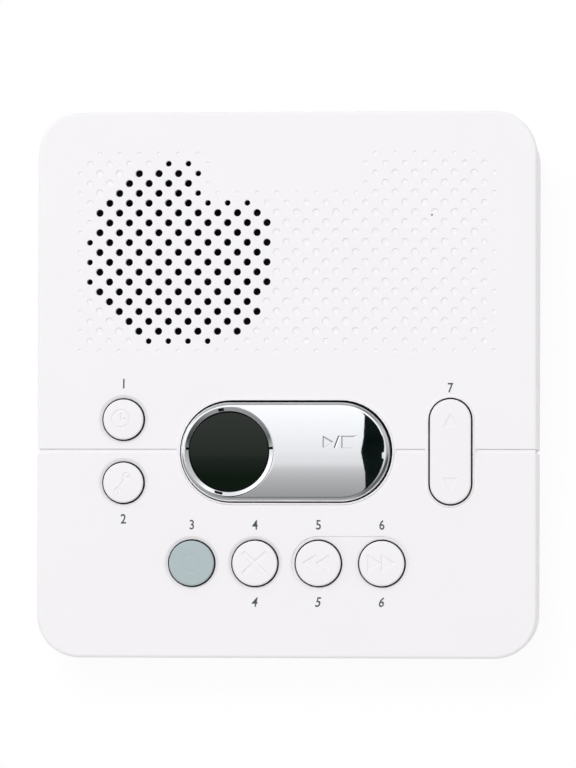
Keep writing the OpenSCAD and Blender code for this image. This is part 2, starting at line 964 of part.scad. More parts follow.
// Bent steel strips from the posts to the speaker's rim
module speaker_clips() {
    edge = speaker_d / 2;
    thick = 0.6;
    color(steel)
        at_speaker()
            for (a = clip_angles)
                rotate([0, 0, a])
                    difference() {
                        translate([0, 2.5, 0])
                            rotate([90, 0, 0])
                                linear_extrude(5)
                                    polygon([
                                        [edge - 1.5, -rim_t], [edge + 0.2, -rim_t],
                                        [edge + 2.1, -clip_drop], [edge + 6.8, -clip_drop],
                                        [edge + 6.8, -clip_drop - thick],
                                        [edge + 1.7, -clip_drop - thick],
                                        [edge - 0.2, -rim_t - thick], [edge - 1.5, -rim_t - thick]
                                    ]);
                        hole_at(edge + clip_reach, 0, 1.1, -clip_drop - 2, 0);
                    }
}

module speaker_clip_screws() {
    color(steel)
        at_speaker()
            for (a = clip_angles)
                rotate([0, 0, a])
                    translate([speaker_d / 2 + clip_reach, 0, -clip_drop - 0.6])
                        pan_screw(0.8, 4.4, 1.8, 1.2);
}

module microphone() {
    color(steel)
        in_top_frame()
            hole_at(mic_u, mic_v, 4.85, -top_t - 5.5, -top_t - 1);
}

module microphone_boot() {
    color(dark)
        in_top_frame()
            difference() {
                hole_at(mic_u, mic_v, 6, -top_t - 5.5, -top_t);
                hole_at(mic_u, mic_v, 4.9, -top_t - 6, -top_t - 1);
                hole_at(mic_u, mic_v, 1, -top_t - 6, 0);
            }
}

// ---------- main board ----------

module main_board() {
    color(board_green)
        difference() {
            translate([main_x0, main_y0, main_z])
                cube([main_x1 - main_x0, main_y1 - main_y0, board_t]);
            for (p = main_posts)
                translate([p[0], p[1], main_z - 1])
                    cylinder(h = 4, r = 1.5);
            // the corners clear the housing's screw posts
            in_top_frame()
                for (p = posts)
                    hole_at(p[0], p[1], post_r + 1.7, -80, 0);
        }
}

module main_board_screws() {
    color(steel)
        for (p = main_posts)
            translate([p[0], p[1], main_top])
                rotate([180, 0, 0])
                    pan_screw(0.95, 5, 2.2, 1.5);
}

module chip(x, y, w, l, h) {
    color(dark)
        translate([x - w / 2, y - l / 2, main_top])
            cube([w, l, h]);
}

module processor_chip() { chip(main_x0 + 32, main_y0 + 18, 14, 14, 1.6); }
module memory_chip() { chip(main_x0 + 52, main_y0 + 22, 8, 14, 1.4); }
module line_transformer() { chip(main_x0 + 12, main_y0 + 21, 18, 16, 10); }

module capacitors() {
    color([0.15, 0.2, 0.35])
        for (x = [44, 56, 66])
            translate([main_x0 + x, main_y0 + 64, main_top])
                cylinder(h = 9, r = 3.5);
}

module crystal() {
    color(steel)
        translate([main_x0 + 48, main_y0 + 38, main_top])
            stadium(3, 1.9, 0, 3.4);
}

// Modular socket: block with a stepped opening to the rear
module modular_jack(x) {
    color(dark)
        translate([x, jack_face_y, main_top])
            difference() {
                translate([-jack_w / 2, -jack_l, 0])
                    cube([jack_w, jack_l, jack_h]);
                translate([-4.85, -12, 3.2])
                    cube([9.7, 13, 6.8]);
                translate([-3.2, -12, 1.6])
                    cube([6.4, 13, 2]);
            }
}

module line_jack() { modular_jack(line_x); }
module phone_jack() { modular_jack(phone_x); }

// Sprung contact wires in both sockets
module jack_contacts() {
    color([0.85, 0.70, 0.35])
        for (x = [line_x, phone_x], i = [-1.5, -0.5, 0.5, 1.5])
            translate([x + 1.02 * i - 0.2, jack_face_y - 11.8, main_top + 9.55])
                rotate([-4, 0, 0])
                    cube([0.4, 8, 0.4]);
}

module power_inlet() {
    color(dark)
        translate([power_x, jack_face_y, main_top])
            difference() {
                translate([-inlet_w / 2, -inlet_l, 0])
                    cube([inlet_w, inlet_l, inlet_h]);
                translate([0, -9, inlet_h / 2])
                    rotate([-90, 0, 0])
                        cylinder(h = 10, r = inlet_r);
            }
}

module power_inlet_pin() {
    color(steel)
        translate([power_x, jack_face_y - 9, main_top + inlet_h / 2])
            rotate([-90, 0, 0])
                cylinder(h = 8, r = pin_r);
}

// ---------- cables ----------

// Flat cable from the key board's socket down to the main board's
module ribbon_cable() {
    steps = 14;
    half_t = 0.45;
    top_end = to_table(ribbon_v, ribbon_top_w);
    low_end = [ribbon_y, main_top + socket_h];
    down = [sin(slope), -cos(slope)];
    path = [for (i = [0 : steps])
        curve_at(top_end, top_end + 5 * down, low_end + [0, 6], low_end, i / steps)];
    run = [for (i = [0 : steps])
        curve_way(top_end, top_end + 5 * down, low_end + [0, 6], low_end, i / steps)];
    side = [for (d = run) half_t * [d[1], -d[0]] / norm(d)];
    color([0.75, 0.75, 0.75])
        translate([-ribbon_w / 2, 0, 0])
            rotate([90, 0, 90])
                linear_extrude(ribbon_w)
                    polygon([
                        for (i = [0 : steps]) path[i] + side[i],
                        for (i = [steps : -1 : 0]) path[i] - side[i]
                    ]);
}

// The two sockets that the flat cable runs between
module ribbon_sockets() {
    color(dark) {
        in_top_frame()
            translate([-ribbon_w / 2 - 1, ribbon_v - 2, ribbon_top_w])
                cube([ribbon_w + 2, 4, socket_h]);
        translate([-ribbon_w / 2 - 1, ribbon_y - 2, main_top])
            cube([ribbon_w + 2, 4, socket_h]);
    }
}

// Height above the table and place along it of a point in the top frame
function to_table(v, w) = [
    mid_y + v * cos(slope) - w * sin(slope),
    mid_h + v * sin(slope) + w * cos(slope)
];
// Cubic curve from a to d, and its direction, with b and c as its handles
function curve_at(a, b, c, d, t) =
    pow(1 - t, 3) * a + 3 * pow(1 - t, 2) * t * b + 3 * (1 - t) * t * t * c + pow(t, 3) * d;
function curve_way(a, b, c, d, t) =
    pow(1 - t, 2) * (b - a) + 2 * (1 - t) * t * (c - b) + t * t * (d - c);

// Insulated wire along a curve, as one tube of 8 sides
module wire(a, b, c, d) {
    steps = 14;
    sides = 8;
    lean = [0.3, 0.5, 0.8];
    points = [
        for (i = [0 : steps])
            let (way = curve_way(a, b, c, d, i / steps))
            let (n = cross(way, lean) / norm(cross(way, lean)))
            let (m = cross(way, n) / norm(way))
            for (k = [0 : sides - 1])
                curve_at(a, b, c, d, i / steps)
                    + wire_r * (cos(360 * k / sides) * n + sin(360 * k / sides) * m)
    ];
    walls = [
        for (i = [0 : steps - 1], k = [0 : sides - 1])
            let (p = i * sides + k, q = i * sides + (k + 1) % sides)
            each [[p, q, q + sides], [p, q + sides, p + sides]]
    ];
    start = [for (k = [sides - 1 : -1 : 0]) k];
    stop = [for (k = [0 : sides - 1]) steps * sides + k];
    polyhedron(points, concat(walls, [start, stop]));
}

// From the speaker's ear down to the main board
module speaker_leads() {
    from = to_table(speaker_v - ear_reach, speaker_w - ear_w);
    for (side = [-1, 1]) {
        x = speaker_u + side * 1.3;
        a = [x, from[0], from[1]];
        d = [x, from[0] - 9, main_top];
        color(side < 0 ? [0.7, 0.1, 0.1] : [0.1, 0.1, 0.1])
            wire(a, a + 6 * [0, sin(slope), -cos(slope)], d + [0, 0, 7], d);
    }
}

// From the microphone over the battery bay to the main board
module microphone_leads() {
    for (side = [-1, 1]) {
        from = to_table(mic_v + side * 1.2, -top_t - 5.5);
        a = [mic_u + side * 0.8, from[0], from[1]];
        d = [main_x1 - 4 + side * 0.8, from[0] - 16, main_top];
        color(side < 0 ? [0.8, 0.8, 0.8] : [0.1, 0.1, 0.1])
            wire(a, a + 7 * [0, sin(slope), -cos(slope)], d + [0, 0, bay_top + 1], d);
    }
}

// From the battery contacts through the bay's front wall to the main board
module battery_leads() {
    for (side = [0, 1]) {
        a = [bay_lead_x + 3 * side, bay_y0, bay_lead_z];
        d = [main_x1 - 5, bay_y0 - 13 - 3 * side, main_top];
        color(side == 0 ? [0.7, 0.1, 0.1] : [0.1, 0.1, 0.1])
            wire(a, a - [0, 10 + 3 * side, 0], d + [0, 0, 8], d);
    }
}

module battery_contact_block() {
    color(dark)
        translate([bay_x - 12, bay_y0, bay_top - 17])
            cube([24, 2.4, 16]);
}

module battery_snaps() {
    color(steel)
        for (x = [-6.35, 6.35])
            translate([bay_x + x, bay_y0 + 2.4, bay_top - 9])
                rotate([-90, 0, 0])
                    cylinder(h = 1.8, r = x < 0 ? 2.8 : 3.6);
}

top_housing();
bottom_housing();
battery_door();
rubber_feet();
housing_screws();
clock_button();
setup_button();
on_off_button();
delete_button();
memo_repeat_button();
announce_skip_button();
volume_rocker();
play_stop_button();
display_ring();
display_lens();
display_module();
key_board();
key_board_screws();
clock_switch();
setup_switch();
on_off_switch();
delete_switch();
memo_repeat_switch();
announce_skip_switch();
volume_up_switch();
volume_down_switch();
play_stop_switch();
speaker_frame();
speaker_magnet();
speaker_cone();
speaker_dust_cap();
speaker_gasket();
speaker_clips();
speaker_clip_screws();
microphone();
microphone_boot();
main_board();
main_board_screws();
processor_chip();
memory_chip();
line_transformer();
capacitors();
crystal();
line_jack();
phone_jack();
jack_contacts();
power_inlet();
power_inlet_pin();
ribbon_cable();
ribbon_sockets();
speaker_leads();
microphone_leads();
battery_leads();
battery_contact_block();
battery_snaps();
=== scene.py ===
import json
import math

import bmesh
import bpy
import numpy as np
from mathutils import Matrix, Vector


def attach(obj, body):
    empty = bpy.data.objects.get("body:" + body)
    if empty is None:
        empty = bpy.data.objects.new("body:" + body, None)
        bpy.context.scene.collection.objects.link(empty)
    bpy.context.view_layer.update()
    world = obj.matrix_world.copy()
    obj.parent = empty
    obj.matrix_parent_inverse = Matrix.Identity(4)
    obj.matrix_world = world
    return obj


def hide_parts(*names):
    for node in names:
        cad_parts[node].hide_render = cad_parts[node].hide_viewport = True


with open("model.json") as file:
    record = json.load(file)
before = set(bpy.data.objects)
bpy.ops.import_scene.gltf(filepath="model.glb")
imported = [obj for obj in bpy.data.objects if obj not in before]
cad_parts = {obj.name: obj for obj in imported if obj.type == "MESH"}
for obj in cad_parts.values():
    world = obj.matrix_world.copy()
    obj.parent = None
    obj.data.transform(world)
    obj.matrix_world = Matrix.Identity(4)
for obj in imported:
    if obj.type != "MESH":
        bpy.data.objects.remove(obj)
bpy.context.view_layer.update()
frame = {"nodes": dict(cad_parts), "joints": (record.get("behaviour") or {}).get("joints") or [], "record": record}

# the frame's nodes, joints and material slots, read straight after loading, before anything of this script is in
# the scene
mm = 0.001
nodes = frame["nodes"]
joints = {joint["name"]: joint for joint in frame["joints"]}
slotOf = {row["node"]: row["material_slot"] for row in frame["record"]["subparts"]}

# Face frame, in millimetres: u to the right, v up the slope, w square out of the sloped face.
axleDepth = 4.2  # the volume key's axle lies this far under the face
pressWay = np.array(joints["clock_press"]["axis"], float)
faceNormal = -pressWay / np.linalg.norm(pressWay)
upSlope = np.array([0.0, faceNormal[2], -faceNormal[1]])
faceAxes = np.stack([np.array([1.0, 0.0, 0.0]), upSlope, faceNormal])
axlePoint = np.array(joints["volume_rock"]["pos_m"], float) / mm
facePlane = float(axlePoint @ faceNormal) + axleDepth
midSlope = 0.0  # the middle of the top housing up the slope, measured below


# metres to u, v, w: dot products with the three axes, w counted from the face, v from its middle
def toFace(points):
    return np.asarray(points, float) / mm @ faceAxes.T - np.array([0.0, midSlope, facePlane])


# u, v, w to metres: the same three axes added up
def toRow(points):
    return (np.asarray(points, float) + np.array([0.0, midSlope, facePlane])) @ faceAxes * mm


# all vertices of a CAD node as one array of metres
def nodePoints(name):
    mesh = nodes[name].data
    flat = np.zeros(len(mesh.vertices) * 3, np.float32)
    mesh.vertices.foreach_get("co", flat)
    return flat.reshape(-1, 3)


# halfway between the lowest and the highest v of the top housing's points
reach = toFace(nodePoints("top_housing"))[:, 1]
midSlope = float(reach.min() + reach.max()) / 2


# lowest and highest u, v, w of a CAD node
def faceBox(name):
    spots = toFace(nodePoints(name))
    return spots.min(0), spots.max(0)


print("frame read: face plane", round(facePlane, 2), "mm, middle of the slope", round(midSlope, 2), "mm")


# quads between the rows of a grid: each joins a point, its neighbour in the row and the two below
def gridFaces(rows, columns, closed=True, closedRows=False):
    spans = columns if closed else columns - 1
    bands = rows if closedRows else rows - 1
    row, column = np.meshgrid(np.arange(bands), np.arange(spans), indexing="ij")
    right = (column + 1) % columns
    below = (row + 1) % rows
    quads = np.stack([row * columns + column, row * columns + right,
                      below * columns + right, below * columns + column], axis=-1)
    return quads.reshape(-1, 4).tolist()


# rings of u, v, w become points and faces; the first and last rings close to a point at their middle
def ringedSolid(rings):
    rows, columns = rings.shape[:2]
    points = np.concatenate([rings.reshape(-1, 3), rings[0].mean(0)[None], rings[-1].mean(0)[None]])
    step = np.arange(columns)
    right = (step + 1) % columns
    last = (rows - 1) * columns
    firstFan = np.stack([np.full(columns, rows * columns), right, step], axis=-1).tolist()
    lastFan = np.stack([np.full(columns, rows * columns + 1), last + step, last + right], axis=-1).tolist()
    return points, gridFaces(rows, columns) + firstFan + lastFan


# a profile of (radius, height) pairs turned round an axis through the middle
def turned(profile, middle, count, axis=2):
    profile = np.array(profile, float)
    angle = np.linspace(0, 2 * math.pi, count, endpoint=False)
    first, second = [(1, 2), (2, 0), (0, 1)][axis]
    rings = np.zeros((len(profile), count, 3))
    rings[..., first] = middle[first] + profile[:, :1] * np.cos(angle)
    rings[..., second] = middle[second] + profile[:, :1] * np.sin(angle)
    rings[..., axis] = middle[axis] + profile[:, 1:]
    return rings


# several shells of points and faces become one shaded mesh that rides on a body; edges that turn by more
# than the sharp angle stay crisp
def makePiece(name, shells, body, sharp, inFace=True):
    points, faces, count = [], [], 0
    for shellPoints, shellFaces in shells:
        points.append(toRow(shellPoints) if inFace else np.asarray(shellPoints, float) * mm)
        faces += [[index + count for index in face] for face in shellFaces]
        count += len(shellPoints)
    mesh = bpy.data.meshes.new(name)
    mesh.from_pydata(np.concatenate(points).tolist(), [], faces)
    work = bmesh.new()
    work.from_mesh(mesh)
    bmesh.ops.remove_doubles(work, verts=work.verts, dist=1e-7)
    bmesh.ops.recalc_face_normals(work, faces=work.faces)
    work.to_mesh(mesh)
    work.free()
    mesh.shade_smooth()
    mesh.set_sharp_from_angle(angle=math.radians(sharp))
    piece = bpy.data.objects.new(name, mesh)
    bpy.context.scene.collection.objects.link(piece)
    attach(piece, body)
    return piece


quarterTurn = np.linspace(0, math.pi / 2, 6)  # the angles of a small rounded edge


# quarter of a circle from a flat top over an edge: (outward, down) pairs, the first one left out
def softEdge(radius, steps):
    turn = np.linspace(0, math.pi / 2, steps + 1)[1:]
    return [(radius * math.sin(t), radius * (1 - math.cos(t))) for t in turn]


# distance to a line from start to end, less half its width
def segmentMark(x, y, start, end, half):
    dx, dy = end[0] - start[0], end[1] - start[1]
    share = np.clip(((x - start[0]) * dx + (y - start[1]) * dy) / (dx * dx + dy * dy), 0, 1)
    return np.hypot(x - start[0] - share * dx, y - start[1] - share * dy) - half


# distance to a circle, less half the line's width
def ringMark(x, y, middle, radius, half):
    return np.abs(np.hypot(x - middle[0], y - middle[1]) - radius) - half


# the largest of the distances to a convex outline's edges, its corners given anticlockwise
def polygonMark(x, y, corners):
    away = np.full(np.shape(x), -1e9)
    for (ax, ay), (bx, by) in zip(corners, corners[1:] + corners[:1]):
        length = math.hypot(bx - ax, by - ay)
        away = np.maximum(away, ((x - ax) * (by - ay) - (y - ay) * (bx - ax)) / length)
    return away


# The signs pressed into the keys: distances in millimetres from the mark's outline, with x and y counted from
# the middle of the key; a distance under nought is inside the mark.


# a ring with one hand up and one to the right
def clockSign(x, y):
    middle = (-0.6, 0.15)
    up = segmentMark(x, y, middle, (middle[0], 1.6), 0.2)
    right = segmentMark(x, y, middle, (0.5, middle[1]), 0.2)
    return np.minimum(np.minimum(ringMark(x, y, middle, 2.3, 0.22), up), right)


# a slanted handle with a notched round head at each end
def spannerSign(x, y):
    handle = segmentMark(x, y, (-1.2, -1.7), (0.6, 1.1), 0.36)
    head = np.hypot(x - 0.95, y - 1.7) - 1.05
    notch = segmentMark(x, y, (1.15, 2.0), (2.2, 3.7), 0.42)
    tail = np.hypot(x + 1.45, y + 2.15) - 0.8
    tailNotch = segmentMark(x, y, (-1.6, -2.4), (-2.6, -4.0), 0.32)
    return np.minimum(handle, np.minimum(np.maximum(head, -notch), np.maximum(tail, -tailNotch)))


# an open ring with a stroke through its gap
def powerSign(x, y):
    ring = ringMark(x, y, (0, 0), 2.3, 0.25)
    gap = segmentMark(x, y, (0, 0), (0, 4), 0.75)
    return np.minimum(np.maximum(ring, -gap), segmentMark(x, y, (0, 0.6), (0, 2.9), 0.22))


# two crossed strokes
def crossSign(x, y):
    return np.minimum(segmentMark(x, y, (-2.8, -2.6), (2.8, 2.6), 0.5),
                      segmentMark(x, y, (-2.8, 2.6), (2.8, -2.6), 0.5))


# two triangles in a row pointing right
def skipSign(x, y):
    return np.minimum(polygonMark(x, y, [(-3.7, -2.3), (0.0, 0.0), (-3.7, 2.3)]),
                      polygonMark(x, y, [(-0.1, -2.3), (3.7, 0.0), (-0.1, 2.3)]))


# the same two triangles pointing left, a little left of the middle
def backSign(x, y):
    return skipSign(-x - 0.7, y)


# a triangle up at the far end and one down at the near end
def volumeSign(x, y):
    return np.minimum(polygonMark(x, y, [(-1.95, 6.6), (1.95, 6.6), (0.0, 10.1)]),
                      polygonMark(x, y, [(-1.95, -7.1), (0.0, -10.6), (1.95, -7.1)]))


# a triangle, a slanted stroke and a square in a row
def playSign(x, y):
    triangle = polygonMark(x, y, [(10.25, 1.1), (12.8, 2.6), (10.25, 4.1)])
    stroke = segmentMark(x, y, (13.4, 1.1), (14.5, 4.1), 0.15)
    square = polygonMark(x, y, [(15.25, 1.05), (18.4, 1.05), (18.4, 4.15), (15.25, 4.15)])
    return np.minimum(np.minimum(triangle, stroke), square)


# how far the surface drops: full depth inside the sign, easing to nothing across its sloped edge
def sunk(distance, depth, slope):
    share = np.clip(0.5 - distance / slope, 0, 1)
    return depth * share * share * (3 - 2 * share)


# distance from a point at x0 on a bar's middle line to its round-ended outline, along each angle
def barReach(angle, run, radius, x0=0.0):
    c, s = np.cos(angle), np.sin(angle)
    with np.errstate(divide="ignore", invalid="ignore"):
        straight = radius / np.abs(s)
    endAt = np.where(x0 + straight * c > run, run, -run) - x0
    rounded = endAt * c + np.sqrt(np.maximum(radius ** 2 - (endAt * s) ** 2, 0))
    return np.where(np.abs(x0 + straight * c) <= run, straight, rounded)


# points of a bar's outline moved straight outwards to a new radius round its middle line
def barOffset(x, y, run, radius):
    base = np.clip(x, -run, run)
    away = np.hypot(x - base, y)
    return base + (x - base) / away * radius, y / away * radius


keySettings = dict(slack=0.1, edge=0.5, edgeSteps=7, dome=0.1, firstRing=0.012, rings=84, around=384,
                   signSlope=0.22, flangeBeyond=1.1, flangeTop=-2.3, flangeThick=1.0, stem=1.6, sharp=55)


# polar grid: a shallow dome less the sunk sign, then the soft edge, wall, flange and stem as a profile
def roundKey(node, piece, body, sign, settings):
    low, high = faceBox(node)
    middle = (low + high) / 2
    flange = (high[0] - low[0]) / 2
    radius = flange - settings["flangeBeyond"] - settings["slack"]
    flat = radius - settings["edge"]
    angle = np.linspace(0, 2 * math.pi, settings["around"], endpoint=False)
    share = np.linspace(settings["firstRing"], 1, settings["rings"])
    r, a = np.meshgrid(share * flat, angle, indexing="ij")
    x, y = r * np.cos(a), r * np.sin(a)
    mark, depth = sign
    w = high[2] - settings["dome"] * (r / flat) ** 2 - sunk(mark(x, y), depth, settings["signSlope"])
    top = np.stack([middle[0] + x, middle[1] + y, w], axis=-1)
    edgeTop = high[2] - settings["dome"]
    flangeLow = settings["flangeTop"] - settings["flangeThick"]
    edge = softEdge(settings["edge"], settings["edgeSteps"])
    profile = [(flat + out, edgeTop - down) for out, down in edge]
    profile += [(radius, settings["flangeTop"]), (flange, settings["flangeTop"]), (flange, flangeLow),
                (settings["stem"], flangeLow), (settings["stem"], low[2])]
    side = turned(profile, [middle[0], middle[1], 0.0], settings["around"])
    made = makePiece(piece, [ringedSolid(np.concatenate([top, side]))], body, settings["sharp"])
    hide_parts(node)
    return made


# each key's sign and how deep it is sunk, in millimetres
keySigns = {
    "clock": (clockSign, 0.24), "setup": (spannerSign, 0.22), "on_off": (powerSign, 0.07),
    "delete": (crossSign, 0.26), "memo_repeat": (backSign, 0.24), "announce_skip": (skipSign, 0.24),
}


keyCaps = {key: roundKey(key + "_button", key + "_cap", key + "_key", sign, keySettings)
           for key, sign in keySigns.items()}
print("round keys:", len(keyCaps))


# block is its half width, half length, lowest and highest level; bevel is the axle's and chamfer the feet's
volumeSettings = dict(radius=5.5, edge=0.55, edgeSteps=7, dome=0.1, low=-3.0, firstRing=0.008, rings=110,
                      around=440, signDepth=0.2, signSlope=0.22, axle=1.2, bevel=0.2, axleAround=48,
                      block=(3.6, 2.0, -5.8, -2.9), foot=1.6, chamfer=0.3, footLow=-5.3, footHigh=-2.6,
                      footOut=8.5, footAround=40, sharp=55)


# star-shaped grid from the middle to the round-ended outline, dome less signs; then edge and wall; the
# axle and the two feet are turned profiles, the block a square prism
def volumeKey(settings):
    low, high = faceBox("volume_rocker")
    middle = (low + high) / 2
    radius = settings["radius"]
    run = (high[1] - low[1]) / 2 - radius
    angle = np.linspace(0, 2 * math.pi, settings["around"], endpoint=False)
    outline = barReach(angle, run, radius - settings["edge"])
    t, a = np.meshgrid(np.linspace(settings["firstRing"], 1, settings["rings"]), angle, indexing="ij")
    along, cross = t * outline * np.cos(a), t * outline * np.sin(a)
    x, y = -cross, along
    w = high[2] - settings["dome"] * (x / radius) ** 2
    w = w - sunk(volumeSign(x, y), settings["signDepth"], settings["signSlope"])
    rings = [np.stack([x, y, w], axis=-1)]
    for out, down in softEdge(settings["edge"], settings["edgeSteps"]) + [(settings["edge"], None)]:
        edgeAlong, edgeCross = barOffset(along[-1], cross[-1], run, radius - settings["edge"] + out)
        level = np.full(len(angle), settings["low"]) if down is None else w[-1] - down
        rings.append(np.stack([-edgeCross, edgeAlong, level], axis=-1)[None])
    cap = np.concatenate(rings) + [middle[0], middle[1], 0.0]
    halfAxle = (high[0] - low[0]) / 2
    axleR, bevel = settings["axle"], settings["bevel"]
    axleLine = [(axleR - bevel, -halfAxle), (axleR, bevel - halfAxle),
                (axleR, halfAxle - bevel), (axleR - bevel, halfAxle)]
    axle = turned(axleLine, [middle[0], middle[1], -axleDepth], settings["axleAround"], axis=0)
    shells = [ringedSolid(cap), ringedSolid(axle)]
    halfU, halfV, blockLow, blockHigh = settings["block"]
    square = np.array([[-halfU, -halfV], [halfU, -halfV], [halfU, halfV], [-halfU, halfV]])
    levels = np.broadcast_to(np.array([blockLow, blockHigh])[:, None, None], (2, 4, 1))
    block = np.concatenate([np.broadcast_to(square, (2, 4, 2)), levels], axis=-1)
    shells.append(ringedSolid(block + [middle[0], middle[1], 0.0]))
    footR, footLow, chamfer = settings["foot"], settings["footLow"], settings["chamfer"]
    footLine = [(footR - chamfer, footLow), (footR, footLow + chamfer), (footR, settings["footHigh"])]
    for side in (-1, 1):
        footMiddle = [middle[0], middle[1] + side * settings["footOut"], 0.0]
        shells.append(ringedSolid(turned(footLine, footMiddle, settings["footAround"])))
    made = makePiece("volume_cap", shells, "volume_key", settings["sharp"])
    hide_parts("volume_rocker")
    return made


volumeCap = volumeKey(volumeSettings)
print("volume key made")


# the grid is finer between signFrom and signTo, degrees round the window, and between the shares signNear
# and signFar of the way from the window to the outline
playSettings = dict(radius=13.4, edge=1.3, aside=(-0.16, -0.08), edgeSteps=10, low=-3.3, flangeTop=-2.3,
                    flangeBeyond=1.5, holeBeyond=0.4, lip=0.08, lipSteps=4, crown=0.3, endFrom=9.5,
                    endCurve=0.0042, signDepth=0.18, signSlope=0.2, signFrom=1.2, signTo=10.5,
                    signNear=0.41, signFar=0.745, fineAround=84, around=400, rings=(16, 104, 14),
                    stem=2.0, stemAt=14.0, stemTop=-2.6, chamfer=0.3, stemAround=48, sharp=50)


# height lost from the bar's middle: a parabola across it and a second one towards its right end
def playDrop(x, y, settings):
    beyond = np.maximum(x - settings["endFrom"], 0)
    across = y / (settings["radius"] - settings["edge"])
    return settings["crown"] * across ** 2 + settings["endCurve"] / 2 * beyond ** 2


# star-shaped grid from the window's hole to the outline, finer where the sign is; closed both ways
def playBar(settings):
    low, high = faceBox("play_stop_button")
    ringLow, ringHigh = faceBox("display_ring")
    bar = (low + high) / 2
    windowU = (ringLow[0] + ringHigh[0]) / 2 - bar[0]
    hole = (ringHigh[0] - ringLow[0]) / 2 + settings["holeBeyond"]
    radius = settings["radius"]
    run = (high[0] - low[0]) / 2 - settings["flangeBeyond"] - radius
    signFrom, signTo = math.radians(settings["signFrom"]), math.radians(settings["signTo"])
    angle = np.concatenate([np.linspace(signFrom, signTo, settings["fineAround"], endpoint=False),
                            np.linspace(signTo, signFrom + 2 * math.pi, settings["around"], endpoint=False)])
    near, far = settings["signNear"], settings["signFar"]
    innerRings, signRings, outerRings = settings["rings"]
    t = np.concatenate([np.linspace(0, near, innerRings, endpoint=False),
                        np.linspace(near, far, signRings, endpoint=False),
                        np.linspace(far, 1, outerRings)])[:, None]
    outline = barReach(angle, run, radius - settings["edge"], windowU)
    inner = hole + settings["lip"]
    distance = inner + t * (outline - inner)
    x, y = windowU + distance * np.cos(angle), distance * np.sin(angle)
    w = high[2] - playDrop(x, y, settings)
    w = w - sunk(playSign(x, y), settings["signDepth"], settings["signSlope"])
    rings = [np.stack([x, y, w], axis=-1)]
    flat = radius - settings["edge"]
    for out, down in softEdge(settings["edge"], settings["edgeSteps"]):
        edgeX, edgeY = barOffset(x[-1], y[-1], run, flat + out)
        rings.append(np.stack([edgeX, edgeY, w[-1] - down], axis=-1)[None])
    flange = radius + settings["flangeBeyond"]
    flangeTop, flangeLow = settings["flangeTop"], settings["low"]
    for out, level in [(radius, flangeTop), (flange, flangeTop), (flange, flangeLow)]:
        edgeX, edgeY = barOffset(x[-1], y[-1], run, out)
        rings.append(np.stack([edgeX, edgeY, np.full(len(angle), level)], axis=-1)[None])
    holeX, holeY = windowU + hole * np.cos(angle), hole * np.sin(angle)
    rings.append(np.stack([holeX, holeY, np.full(len(angle), flangeLow)], axis=-1)[None])
    for out, down in reversed(softEdge(settings["lip"], settings["lipSteps"])):
        lipX, lipY = windowU + (inner - out) * np.cos(angle), (inner - out) * np.sin(angle)
        rings.append(np.stack([lipX, lipY, w[0] - down], axis=-1)[None])
    shell = np.concatenate(rings) + [bar[0], bar[1], 0.0]
    shell[:, :, :2] += settings["aside"]
    rows, columns = shell.shape[:2]
    stemR, chamfer = settings["stem"], settings["chamfer"]
    stemLine = [(stemR - chamfer, low[2]), (stemR, low[2] + chamfer), (stemR, settings["stemTop"])]
    stem = turned(stemLine, [settings["stemAt"], bar[1], 0.0], settings["stemAround"])
    shells = [(shell.reshape(-1, 3), gridFaces(rows, columns, closedRows=True)), ringedSolid(stem)]
    made = makePiece("play_bar_cap", shells, "play_bar", settings["sharp"])
    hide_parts("play_stop_button")
    return made


playCap = playBar(playSettings)
print("play bar made")


# a notch is its turn in degrees from the right, its half width, and where it starts and ends beyond the bore
windowSettings = dict(around=512, beyond=0.3, ringTop=1.95, outerEdge=0.1, innerDrop=0.3, slopeSteps=14,
                      collar=0.6, collarFrom=-2.4, collarTo=-1.8, lensGap=0.05, boreEdge=0.08, boreDrop=0.1,
                      wall=1.2, seat=-0.9, lensTop=1.35, lensCrown=0.7, lensEdge=0.2, edgeSteps=4,
                      firstRing=0.02, lensRings=24, sharp=60, notchDeep=0.9, notchFrom=1.0, notchSlack=0.02,
                      notches=[(4.8, 0.28, 0.0, 1.05), (100.6, 0.7, 0.2, 0.85), (176.0, 0.28, 0.0, 1.05),
                               (256.0, 1.0, 0.3, 0.9)])


